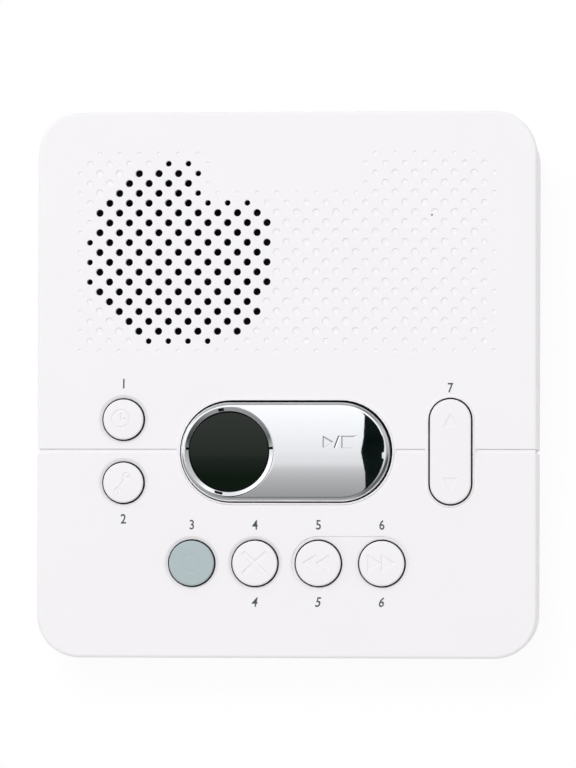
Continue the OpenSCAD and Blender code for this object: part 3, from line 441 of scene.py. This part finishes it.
# the ring is a turned profile: outer wall, rounded top, gentle slope inwards, seat, inner wall; the window is
# one too, bent down towards its upper and lower ends by a parabola
def displayWindow(settings):
    low, high = faceBox("display_ring")
    lensLow, lensHigh = faceBox("display_lens")
    middle = [(low[0] + high[0]) / 2, (low[1] + high[1]) / 2, 0.0]
    outer = (high[0] - low[0]) / 2 + settings["beyond"]
    lens = (lensHigh[0] - lensLow[0]) / 2
    edge = settings["outerEdge"]
    crest = [(outer - edge + edge * math.cos(t), settings["ringTop"] - edge + edge * math.sin(t))
             for t in quarterTurn]
    bore = lens + settings["lensGap"]
    slopeEnd = (bore + settings["boreEdge"], settings["ringTop"] - settings["innerDrop"])
    share = np.linspace(0, 1, settings["slopeSteps"] + 1)[1:, None]
    slope = (np.array(crest[-1]) * (1 - share) + np.array(slopeEnd) * share).tolist()
    inner, seat, collar = lens - settings["wall"], settings["seat"], outer - settings["collar"]
    profile = [(collar, low[2]), (collar, settings["collarFrom"]), (outer, settings["collarTo"])]
    profile += crest + slope
    profile += [(bore, slopeEnd[1] - settings["boreDrop"]), (bore, seat), (inner, seat), (inner, low[2])]
    rings = turned(profile, middle, settings["around"])
    rows, columns = rings.shape[:2]
    # the notches: points of the slope that lie inside one drop by its depth
    x, y = rings[..., 0] - middle[0], rings[..., 1] - middle[1]
    beyond = np.hypot(x, y) - bore
    for turn, half, start, end in settings["notches"]:
        c, s = math.cos(math.radians(turn)), math.sin(math.radians(turn))
        inside = (np.abs(y * c - x * s) < half) & (x * c + y * s > 0)
        inside &= (rings[..., 2] > settings["notchFrom"])
        inside &= (beyond > start - settings["notchSlack"]) & (beyond < end)
        rings[..., 2] -= np.where(inside, settings["notchDeep"], 0)
    ring = makePiece("window_ring", [(rings.reshape(-1, 3), gridFaces(rows, columns, closedRows=True))],
                     "housing", settings["sharp"])
    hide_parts("display_ring")
    flat = lens - settings["lensEdge"]
    lensShare = np.linspace(settings["firstRing"], 1, settings["lensRings"])
    top = [(flat * share, settings["lensTop"]) for share in lensShare]
    top += [(flat + out, settings["lensTop"] - down)
            for out, down in softEdge(settings["lensEdge"], settings["edgeSteps"])]
    glass = turned(top, middle, settings["around"])
    glass[..., 2] -= settings["lensCrown"] * ((glass[..., 1] - middle[1]) / flat) ** 2
    glass = np.concatenate([glass, turned([(lens, lensLow[2])], middle, settings["around"])])
    window = makePiece("window_lens", [ringedSolid(glass)], "housing", settings["sharp"])
    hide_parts("display_lens")
    return ring, window


windowRing, windowLens = displayWindow(windowSettings)
print("display window made")


footSettings = dict(radius=5.0, height=1.5, above=0.8, edge=0.35, pole=0.2, cup=2.2, cupSlope=0.3,
                    cupDepth=0.3, around=72, sharp=45)


# each foot is a turned profile: a shallow cup underneath, a flat ring, a soft edge and a straight side; the
# four middles are the middles of the CAD points in each quarter of the table
def rubberFeet(settings):
    points = nodePoints("rubber_feet") / mm
    quarter = 2 * (points[:, 0] > 0) + (points[:, 1] > 0)
    groups = [points[quarter == which] for which in range(4)]
    spots = [(group.min(0) + group.max(0))[:2] / 2 for group in groups]
    radius = settings["radius"]
    edge = settings["edge"]
    top = settings["height"] + settings["above"]
    pole, cup, cupDepth = settings["pole"], settings["cup"], settings["cupDepth"]
    rim = [(radius - edge + edge * math.sin(t), edge - edge * math.cos(t)) for t in quarterTurn]
    profile = [(pole, cupDepth), (cup - settings["cupSlope"], cupDepth), (cup, 0.0)] + rim
    profile += [(radius, top), (pole, top)]
    shells = [ringedSolid(turned(profile, [x, y, 0.0], settings["around"])) for x, y in spots]
    made = makePiece("soft_feet", shells, "housing", settings["sharp"], inFace=False)
    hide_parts("rubber_feet")
    return made


softFeet = rubberFeet(footSettings)
print("feet made")


printSettings = dict(height=2.6, bold=0.012, curveSteps=6, narrow=0.86, lean=0.2, thick=0.03, lift=0.012,
                     gap=1.8)


# a text outline filled to a thin plate, scaled, then carried by its corner points into the face frame
def printedNumber(name, words, u, v, slant, settings):
    curve = bpy.data.curves.new(name + "_outline", "FONT")
    curve.body = words
    curve.align_x = "CENTER"
    curve.align_y = "CENTER"
    curve.size = 1.0
    curve.resolution_u = settings["curveSteps"]
    curve.extrude = 0.5  # half a unit to both sides, scaled to the print's thickness below
    curve.offset = settings["bold"]
    temporary = bpy.data.objects.new(name + "_outline", curve)
    bpy.context.scene.collection.objects.link(temporary)
    mesh = bpy.data.meshes.new_from_object(temporary)
    bpy.data.objects.remove(temporary)
    flat = np.zeros(len(mesh.vertices) * 3)
    mesh.vertices.foreach_get("co", flat)
    spots = flat.reshape(-1, 3)
    spots[:, :2] -= (spots[:, :2].min(0) + spots[:, :2].max(0)) / 2
    scale = settings["height"] / (spots[:, 1].max() - spots[:, 1].min())
    across = spots[:, 0] * settings["narrow"] + slant * spots[:, 1]
    level = settings["lift"] + settings["thick"] * (spots[:, 2] + 0.5)
    placed = np.stack([u + scale * across, v + scale * spots[:, 1], level], axis=-1)
    mesh.vertices.foreach_set("co", toRow(placed).ravel())
    mesh.materials.clear()
    mesh.name = name
    number = bpy.data.objects.new(name, mesh)
    bpy.context.scene.collection.objects.link(number)
    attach(number, "housing")
    return number


# each key's number, and the sides of the key it is printed on: 1 above it, -1 below
numberPlaces = {
    "clock_button": (1, [1]), "setup_button": (2, [-1]), "on_off_button": (3, [1]),
    "delete_button": (4, [1, -1]), "memo_repeat_button": (5, [1, -1]), "announce_skip_button": (6, [1, -1]),
    "volume_rocker": (7, [1]),
}


# a number lies beyond its key by the gap and half its own height; a second one, below the key, leans
def printedNumbers(settings):
    made = []
    for node, (number, sides) in numberPlaces.items():
        low, high = faceBox(node)
        middle = (low + high) / 2
        out = (high[1] - low[1]) / 2 + settings["gap"] + settings["height"] / 2
        for side in sides:
            name = "number_%d_%s" % (number, "above" if side > 0 else "below")
            slant = settings["lean"] if side < 0 and len(sides) == 2 else 0.0
            made.append(printedNumber(name, str(number), middle[0], middle[1] + side * out, slant, settings))
    return made


numbers = printedNumbers(printSettings)
print("printed numbers:", len(numbers))


# an sRGB hex colour as linear red, green, blue and alpha, by the sRGB standard's curve
def hexColour(text):
    values = [int(text[i:i + 2], 16) / 255 for i in (1, 3, 5)]
    return tuple(v / 12.92 if v <= 0.04045 else ((v + 0.055) / 1.055) ** 2.4 for v in values) + (1.0,)


# one node with its settings; an input that is another node's output is linked, anything else is set
def addNode(tree, kind, inputs=None, **settings):
    node = tree.nodes.new(kind)
    for key, value in settings.items():
        setattr(node, key, value)
    for key, value in (inputs or {}).items():
        if isinstance(value, bpy.types.NodeSocket):
            tree.links.new(value, node.inputs[key])
        else:
            node.inputs[key].default_value = value
    return node


# an empty node material with an output; its surface is linked by the caller
def newMaterial(name):
    material = bpy.data.materials.new(name)
    material.use_nodes = True
    tree = material.node_tree
    tree.nodes.clear()
    return material, tree, tree.nodes.new("ShaderNodeOutputMaterial")


# object coordinates in millimetres, so that every pattern below is given in real sizes
def millimetres(tree):
    where = addNode(tree, "ShaderNodeTexCoord")
    place = addNode(tree, "ShaderNodeVectorMath", {0: where.outputs["Object"], 3: 1 / mm}, operation="SCALE")
    return place.outputs[0]


# noise of a given grain size in millimetres
def grainNoise(tree, place, size, detail=3.0):
    return addNode(tree, "ShaderNodeTexNoise", {"Vector": place, "Scale": 1.0 / size, "Detail": detail,
                                                "Roughness": 0.55}).outputs["Fac"]


# a bump of a given height in millimetres from a grey pattern
def bumpOf(tree, height, depth, before=None):
    inputs = {"Height": height, "Distance": depth * mm, "Strength": 1.0}
    if before is not None:
        inputs["Normal"] = before
    return addNode(tree, "ShaderNodeBump", inputs).outputs["Normal"]


# a colour that drifts a little between two hex colours along a noise
def drift(tree, factor, first, second):
    mixed = addNode(tree, "ShaderNodeMix", {"Factor": factor, "A": hexColour(first), "B": hexColour(second)},
                    data_type="RGBA")
    return mixed.outputs["Result"]


# sizes in millimetres of the flow marks and of the sink ripple of moulded plastic, and the ripple's height
mouldSettings = dict(flow=26.0, ripple=7.0, rippleHeight=0.012, sheen=0.3)


# Injection-moulded ABS with a fine spark texture: a soft satin sheen that breaks up at the edges. The real
# texture's grain is about 0.15 mm; it is drawn two to three times as coarse, so that it shows.
def mouldedAbs(name, light, dark, grain, depth, roughness):
    material, tree, out = newMaterial(name)
    place = millimetres(tree)
    fine = grainNoise(tree, place, grain)
    broad = grainNoise(tree, place, mouldSettings["flow"], detail=2.0)
    ripple = grainNoise(tree, place, mouldSettings["ripple"], detail=1.0)
    normal = bumpOf(tree, fine, depth)
    normal = bumpOf(tree, ripple, mouldSettings["rippleHeight"], before=normal)
    shader = addNode(tree, "ShaderNodeBsdfPrincipled", {
        "Base Color": drift(tree, broad, light, dark), "Roughness": roughness, "IOR": 1.53,
        "Specular IOR Level": mouldSettings["sheen"], "Normal": normal})
    tree.links.new(shader.outputs[0], out.inputs["Surface"])
    return material


# how long and how high the plating's waves are, and how large its hazier patches, in millimetres
chromeSettings = dict(wave=9.0, waveHeight=0.0016, patch=2.5)


# Chrome plating over moulded plastic: a mirror with a trace of waviness from the moulding under it.
def chromePlate(name, colour, roughness):
    material, tree, out = newMaterial(name)
    place = millimetres(tree)
    wave = bumpOf(tree, grainNoise(tree, place, chromeSettings["wave"], detail=1.0),
                  chromeSettings["waveHeight"])
    patches = grainNoise(tree, place, chromeSettings["patch"])
    haze = addNode(tree, "ShaderNodeMapRange", {"Value": patches, "To Min": roughness,
                                                "To Max": roughness * 2})
    shader = addNode(tree, "ShaderNodeBsdfPrincipled", {
        "Base Color": hexColour(colour), "Metallic": 1.0, "Roughness": haze.outputs["Result"],
        "Normal": wave})
    tree.links.new(shader.outputs[0], out.inputs["Surface"])
    return material


# patch in millimetres; the index is below acrylic's 1.49, because the real window mirrors less than that
acrylicSettings = dict(patch=3.0, smooth=0.02, hazy=0.05, index=1.35)


# Smoked acrylic window: almost black in depth, with a hard polished surface that mirrors the room.
def smokedAcrylic(name, colour):
    material, tree, out = newMaterial(name)
    patches = grainNoise(tree, millimetres(tree), acrylicSettings["patch"])
    haze = addNode(tree, "ShaderNodeMapRange", {"Value": patches, "To Min": acrylicSettings["smooth"],
                                                "To Max": acrylicSettings["hazy"]})
    shader = addNode(tree, "ShaderNodeBsdfPrincipled", {
        "Base Color": hexColour(colour), "Roughness": haze.outputs["Result"],
        "IOR": acrylicSettings["index"]})
    tree.links.new(shader.outputs[0], out.inputs["Surface"])
    return material


# A matt body with grain: rubber, foam, pressed paper, sintered ferrite, printed ink.
def mattBody(name, light, dark, grain, depth, roughness):
    material, tree, out = newMaterial(name)
    place = millimetres(tree)
    fine = grainNoise(tree, place, grain, detail=4.0)
    shader = addNode(tree, "ShaderNodeBsdfPrincipled", {
        "Base Color": drift(tree, fine, light, dark), "Roughness": roughness, "IOR": 1.5,
        "Normal": bumpOf(tree, fine, depth)})
    tree.links.new(shader.outputs[0], out.inputs["Surface"])
    return material


# how long and how high the streaks are, in millimetres, and the shares of the roughness that they range over
metalSettings = dict(streak=0.25, streakHeight=0.004, glossFrom=0.75, glossTo=1.3)


# Stamped or turned metal: stretched grain along one way gives it long soft streaks of gloss.
def drawnMetal(name, light, dark, roughness, stretch):
    material, tree, out = newMaterial(name)
    place = millimetres(tree)
    streaks = addNode(tree, "ShaderNodeMapping", {"Vector": place, "Scale": stretch}).outputs[0]
    grain = grainNoise(tree, streaks, metalSettings["streak"], detail=4.0)
    gloss = addNode(tree, "ShaderNodeMapRange", {
        "Value": grain, "To Min": roughness * metalSettings["glossFrom"],
        "To Max": roughness * metalSettings["glossTo"]})
    shader = addNode(tree, "ShaderNodeBsdfPrincipled", {
        "Base Color": drift(tree, grain, light, dark), "Metallic": 1.0, "Roughness": gloss.outputs["Result"],
        "Normal": bumpOf(tree, grain, metalSettings["streakHeight"])})
    tree.links.new(shader.outputs[0], out.inputs["Surface"])
    return material


# the tracks' width, length and distance, and the glass weave's grain and height, in millimetres
boardSettings = dict(trackWide=0.12, trackLong=6.4, trackApart=1.6, weave=0.5, weaveHeight=0.01,
                     roughness=0.28, index=1.55)


# Glass-fibre board under green solder mask: a glossy skin over the weave, tracks showing as lighter lines.
def solderMask(name, light, dark, track):
    material, tree, out = newMaterial(name)
    place = millimetres(tree)
    tracks = addNode(tree, "ShaderNodeTexBrick", {
        "Vector": place, "Scale": 1.0, "Mortar Size": boardSettings["trackWide"],
        "Brick Width": boardSettings["trackLong"], "Row Height": boardSettings["trackApart"],
        "Color1": hexColour(light), "Color2": hexColour(dark), "Mortar": hexColour(track)})
    weave = grainNoise(tree, place, boardSettings["weave"])
    shader = addNode(tree, "ShaderNodeBsdfPrincipled", {
        "Base Color": tracks.outputs["Color"], "Roughness": boardSettings["roughness"],
        "IOR": boardSettings["index"], "Normal": bumpOf(tree, weave, boardSettings["weaveHeight"])})
    tree.links.new(shader.outputs[0], out.inputs["Surface"])
    return material


# each record slot's finish: the name of its real material and its colours; for plastics, rubber and paper
# then the grain and relief in millimetres and the roughness, for metals the roughness and the streaks' way
finishes = {
    # the housings scatter light softly; the keys are a shade smoother, so that their pressed signs read
    "white_plastic": mouldedAbs("white ABS, spark-textured", "#f3f1f3", "#f1eff1", 0.32, 0.006, 0.42),
    "key_plastic": mouldedAbs("white ABS, finely polished", "#f2f0f2", "#f0eef0", 0.5, 0.002, 0.3),
    "grey_key": mouldedAbs("blue-grey translucent ABS", "#b2bfc2", "#aebbbe", 0.5, 0.002, 0.34),
    # a mirror for the ring and the bar, and a near-black gloss for the window
    "chrome_plating": chromePlate("chrome plating", "#eff1f3", 0.012),
    "smoked_window": smokedAcrylic("smoked acrylic", "#07130a"),
    # dull and dark: hardly any gloss on rubber, foam and paper, a faint stony one on ferrite
    "foot_rubber": mattBody("moulded nitrile rubber", "#1c1c1e", "#141416", 0.35, 0.02, 0.75),
    "foam": mattBody("open-cell foam", "#161616", "#0c0c0c", 0.6, 0.15, 0.95),
    "cone_paper": mattBody("pressed paper cone", "#1b1b1c", "#101011", 0.8, 0.05, 0.85),
    "ferrite": mattBody("sintered ferrite", "#2a2a2d", "#202023", 0.4, 0.01, 0.6),
    # a wet-looking green board, with bright metal on it whose streaks run along the drawn way
    "circuit_board": solderMask("solder mask on glass fibre", "#1b5a35", "#174f2e", "#2f7a4c"),
    "plated_steel": drawnMetal("zinc-plated steel", "#c2c4c8", "#a9acb1", 0.3, (1.0, 1.0, 6.0)),
    "contact_brass": drawnMetal("gold-plated brass", "#d8b45e", "#c39c45", 0.22, (6.0, 1.0, 1.0)),
    # plain coloured plastics of the small parts: a low even sheen
    "black_plastic": mattBody("black glass-filled nylon", "#18181a", "#111113", 0.3, 0.01, 0.45),
    "can_sleeve": mattBody("shrunk vinyl sleeve", "#18233f", "#131c34", 1.2, 0.01, 0.3),
    "cable_vinyl": mattBody("grey ribbon vinyl", "#b9bbbe", "#adb0b3", 0.9, 0.02, 0.45),
    "lead_vinyl": mattBody("red lead vinyl", "#7a1515", "#661010", 0.8, 0.01, 0.4),
}
# painted shade: the keys' flanks inside the gaps are coloured dark, so that the gaps read as deep and shadowed;
# near-black on the bar's flank as painted shade and on the floors of the ring's notches as painted dark
# reflections; and the print
keyGapShade = mattBody("key skirt painted dark as gap shade", "#303032", "#2a2a2c", 0.3, 0.002, 0.7)
greyKeyGapShade = mattBody("grey key skirt painted dark as gap shade", "#4b5658", "#434e50", 0.3, 0.002, 0.7)
blackShadeAndReflection = mattBody("near-black painted shade and reflection", "#131314", "#0e0e0f", 0.3, 0.002, 0.7)
printInk = mattBody("screen-printed ink", "#50585b", "#4a5255", 0.3, 0.002, 0.6)


# faces whose middle is lower than a level take the piece's second material
def splitBelow(piece, level):
    mesh = piece.data
    flat = np.zeros(len(mesh.polygons) * 3)
    mesh.polygons.foreach_get("center", flat)
    low = toFace(flat.reshape(-1, 3))[:, 2] < level
    mesh.polygons.foreach_set("material_index", low.astype(np.int32))


# a piece takes one finish, or a second one as well for all that lies below a level
def dress(piece, finish, below=None, level=0.0):
    piece.data.materials.clear()
    piece.data.materials.append(finish)
    if below is not None:
        piece.data.materials.append(below)
        splitBelow(piece, level)


# the second finish, painted dark, begins under these levels, in millimetres above the face: on the keys' flanks
# and on the bar's flank, where it is painted shade in the gaps, and on the floors of the ring's notches, where it
# is a painted dark reflection
darkBelow = dict(keys=-0.3, bar=0.1, ring=1.4)

for name, node in nodes.items():
    for slot in node.material_slots:
        slot.material = finishes[slotOf[name]]
# painted shade: the flanks of the keys, the volume key's too, take a dark finish below the face, so that the gaps
# round them look shadowed
for key, cap in keyCaps.items():
    flank = greyKeyGapShade if key == "on_off" else keyGapShade
    dress(cap, finishes[slotOf[key + "_button"]], flank, darkBelow["keys"])
dress(volumeCap, finishes["key_plastic"], keyGapShade, darkBelow["keys"])
# painted shade on the bar's flank below the face, and near-black notch floors on the ring as painted dark
# reflections
dress(playCap, finishes["chrome_plating"], blackShadeAndReflection, darkBelow["bar"])
dress(windowRing, finishes["chrome_plating"], blackShadeAndReflection, darkBelow["ring"])
dress(windowLens, finishes["smoked_window"])
dress(softFeet, finishes["foot_rubber"])
for number in numbers:
    dress(number, printInk)
print("materials:", len(finishes) + 4)


# lengths in millimetres, turns in degrees off the face's normal; farthest is in metres
cameraSettings = dict(frameHeight=206.36, distance=1300.0, fromRight=4.3, fromFront=2.0, roll=0.12,
                      aim=(0.46, 0.07, 0.0), sensor=36.0, farthest=20.0)


# the camera looks back along its own direction from a point near the face's middle; up is the slope's way,
# turned by a small roll; the lens is the sensor's width times distance over the height that fills the frame
def aimCamera(settings):
    side, front = math.radians(settings["fromRight"]), math.radians(settings["fromFront"])
    way = Vector((math.tan(side), -math.tan(front), 1.0)).normalized()
    axes = Matrix(faceAxes.tolist()).transposed()
    back = (axes @ way).normalized()
    up = Vector(upSlope.tolist())
    right = up.cross(back).normalized()
    turn = Matrix.Rotation(math.radians(settings["roll"]), 3, back)
    right = turn @ right
    up = back.cross(right).normalized()
    data = bpy.data.cameras.new("camera")
    data.sensor_width = settings["sensor"]
    data.lens = data.sensor_width * settings["distance"] / settings["frameHeight"]
    data.clip_end = settings["farthest"]
    camera = bpy.data.objects.new("camera", data)
    aim = Vector(toRow(settings["aim"]).tolist())
    spot = aim + back * settings["distance"] * mm
    rows = [[right[i], up[i], back[i], spot[i]] for i in range(3)]
    camera.matrix_world = Matrix(rows + [[0, 0, 0, 1]])
    bpy.context.scene.collection.objects.link(camera)
    bpy.context.scene.camera = camera


aimCamera(cameraSettings)


# the floor, the lamp and its distance in metres, the floor's level and the card in millimetres
studioSettings = dict(floorHalf=3.0, floorPoints=9, floorLevel=-0.05, floorGlow=0.94, room=0.58,
                      roomBlue=1.01, lampPower=62.2, lampSize=1.2, lampDistance=3.5,
                      lampWay=(-0.16, 0.36, 0.9), cardHeight=1200.0, cardHalf=260.0, cardPatch=70.0,
                      cardAcross=12, cardAlong=241, dimFrom=0.15, dimTo=0.4, dimmed=0.62)


# one where either of two kinds of ray is meant, nought elsewhere: the larger of the two flags
def eitherRay(tree, first, second):
    return addNode(tree, "ShaderNodeMath", {0: first, 1: second}, operation="MAXIMUM").outputs[0]


# a flat square grid of white paper; it glows for the camera and for reflections, so that it stays white
# where nothing shades it and still keeps a faint soft shadow
def layFloor(settings):
    half, count = settings["floorHalf"], settings["floorPoints"]
    side = np.linspace(-half, half, count)
    x, y = np.meshgrid(side, side, indexing="ij")
    mesh = bpy.data.meshes.new("floor")
    points = np.stack([x, y, np.full_like(x, settings["floorLevel"] * mm)], axis=-1).reshape(-1, 3)
    mesh.from_pydata(points.tolist(), [], [face[::-1] for face in gridFaces(count, count, closed=False)])
    floor = bpy.data.objects.new("floor", mesh)
    bpy.context.scene.collection.objects.link(floor)
    material, tree, out = newMaterial("white paper sweep")
    path = addNode(tree, "ShaderNodeLightPath")
    seen = eitherRay(tree, path.outputs["Is Camera Ray"], path.outputs["Is Glossy Ray"])
    seen = eitherRay(tree, seen, path.outputs["Is Transmission Ray"])
    paper = addNode(tree, "ShaderNodeBsdfDiffuse", {"Color": hexColour("#fafafa")})
    glow = addNode(tree, "ShaderNodeEmission", {"Color": hexColour("#ffffff"), "Strength": 1.0})
    glowing = addNode(tree, "ShaderNodeMixShader", {"Fac": settings["floorGlow"]})
    tree.links.new(paper.outputs[0], glowing.inputs[1])
    tree.links.new(glow.outputs[0], glowing.inputs[2])
    chosen = addNode(tree, "ShaderNodeMixShader", {"Fac": seen})
    tree.links.new(paper.outputs[0], chosen.inputs[1])
    tree.links.new(glowing.outputs[0], chosen.inputs[2])
    tree.links.new(chosen.outputs[0], out.inputs["Surface"])
    mesh.materials.append(material)


# one large soft lamp far above the face, towards its rear and a little to the left, aimed at its middle
def hangLamp(settings):
    way = Vector((np.array(settings["lampWay"]) @ faceAxes).tolist()).normalized()
    data = bpy.data.lights.new("key_light", "AREA")
    data.shape = "SQUARE"
    data.size = settings["lampSize"]
    data.energy = settings["lampPower"]
    lamp = bpy.data.objects.new("key_light", data)
    middle = Vector(toRow((0.0, 0.0, 0.0)).tolist())
    lamp.location = middle + way * settings["lampDistance"]
    lamp.rotation_euler = way.to_track_quat("Z", "Y").to_euler()
    lamp.visible_glossy = False  # the room's levels alone make the reflections
    bpy.context.scene.collection.objects.link(lamp)


# the card's inner and outer edges as (v, u) corners in millimetres, joined by straight lines
cardInner = [(-260, 76), (-60, 71), (-18, 63), (7, 58), (30, 62), (52, 66), (260, 76)]
cardOuter = [(-260, 70), (-112, 94), (-70, 118), (-38, 130), (-16, 136), (-14, 126), (4, 125), (6, 134),
             (20, 137), (60, 138), (62, 130), (96, 118), (140, 92), (260, 76)]


# a dark card that only reflections see: straight lines across it from the inner edge to the outer
def hangCard(settings):
    rows, columns = settings["cardAcross"], settings["cardAlong"]
    t, s = np.meshgrid(np.linspace(0, 1, rows), np.linspace(-1, 1, columns), indexing="ij")
    v = s * settings["cardHalf"]
    inner, outer = (np.interp(v, *np.array(edge, float).T) for edge in (cardInner, cardOuter))
    u = inner + t * (outer - inner)
    points = toRow(np.stack([u, v, np.full_like(u, settings["cardHeight"])], axis=-1))
    mesh = bpy.data.meshes.new("dark_card")
    mesh.from_pydata(points.reshape(-1, 3).tolist(), [], gridFaces(rows, columns, closed=False))
    card = bpy.data.objects.new("dark_card", mesh)
    bpy.context.scene.collection.objects.link(card)
    material, tree, out = newMaterial("black flag cloth")
    patches = grainNoise(tree, millimetres(tree), settings["cardPatch"], detail=1.0)
    dark = drift(tree, patches, "#010303", "#182221")
    cloth = addNode(tree, "ShaderNodeEmission", {"Color": dark, "Strength": 1.0})
    tree.links.new(cloth.outputs[0], out.inputs["Surface"])
    mesh.materials.append(material)
    for key in ("camera", "diffuse", "transmission", "volume_scatter", "shadow"):
        setattr(card, "visible_" + key, False)


# what the chrome mirrors: brightness by how far a direction leans up the face's slope
roomLevels = [(-1.0, 0.42), (-0.6, 0.36), (-0.34, 0.26), (-0.16, 0.14), (-0.085, 0.36), (-0.044, 0.49),
              (-0.021, 0.62), (-0.012, 0.75), (-0.0036, 0.86), (0.004, 0.84), (0.021, 0.92), (0.06, 1.0),
              (0.12, 1.12), (0.3, 1.4), (0.5, 1.25), (0.58, 0.85), (0.66, 0.62), (0.8, 0.5), (1.0, 0.35)]


# white for the camera, an even level for diffuse light, and the room's levels for reflections: a ramp over
# the dot product with the slope's way, dimmed smoothly towards the right
def lightRoom(settings, levels):
    world = bpy.data.worlds.new("studio")
    bpy.context.scene.world = world
    world.use_nodes = True
    tree = world.node_tree
    tree.nodes.clear()
    out = tree.nodes.new("ShaderNodeOutputWorld")
    path = addNode(tree, "ShaderNodeLightPath")
    where = addNode(tree, "ShaderNodeTexCoord")
    lean = addNode(tree, "ShaderNodeVectorMath", {0: where.outputs["Generated"], 1: tuple(upSlope)},
                   operation="DOT_PRODUCT")
    share = addNode(tree, "ShaderNodeMapRange", {"Value": lean.outputs["Value"], "From Min": -1.0,
                                                 "From Max": 1.0})
    ramp = addNode(tree, "ShaderNodeValToRGB", {"Fac": share.outputs["Result"]})
    stops = ramp.color_ramp.elements
    top = max(level for place, level in levels)
    for i, (place, level) in enumerate(levels):
        stop = stops[i] if i < 2 else stops.new(1.0)
        stop.position = (place + 1) / 2
        stop.color = (level / top, level / top, level / top * settings["roomBlue"], 1.0)
    across = addNode(tree, "ShaderNodeSeparateXYZ", {0: where.outputs["Generated"]})
    dim = addNode(tree, "ShaderNodeMapRange", {
        "Value": across.outputs["X"], "From Min": settings["dimFrom"], "From Max": settings["dimTo"],
        "To Min": top, "To Max": settings["dimmed"]}, interpolation_type="SMOOTHSTEP")
    mirrored = addNode(tree, "ShaderNodeBackground", {"Color": ramp.outputs["Color"],
                                                      "Strength": dim.outputs["Result"]})
    paleWhite = hexColour("#ffffff")
    even = addNode(tree, "ShaderNodeBackground", {"Color": paleWhite, "Strength": settings["room"]})
    white = addNode(tree, "ShaderNodeBackground", {"Color": paleWhite, "Strength": 1.0})
    glossy = addNode(tree, "ShaderNodeMixShader", {"Fac": path.outputs["Is Glossy Ray"]})
    tree.links.new(even.outputs[0], glossy.inputs[1])
    tree.links.new(mirrored.outputs[0], glossy.inputs[2])
    seen = eitherRay(tree, path.outputs["Is Camera Ray"], path.outputs["Is Transmission Ray"])
    chosen = addNode(tree, "ShaderNodeMixShader", {"Fac": seen})
    tree.links.new(glossy.outputs[0], chosen.inputs[1])
    tree.links.new(white.outputs[0], chosen.inputs[2])
    tree.links.new(chosen.outputs[0], out.inputs["Surface"])


layFloor(studioSettings)
hangLamp(studioSettings)
hangCard(studioSettings)
lightRoom(studioSettings, roomLevels)
bpy.context.scene.view_settings.view_transform = "Standard"
print("studio lit")
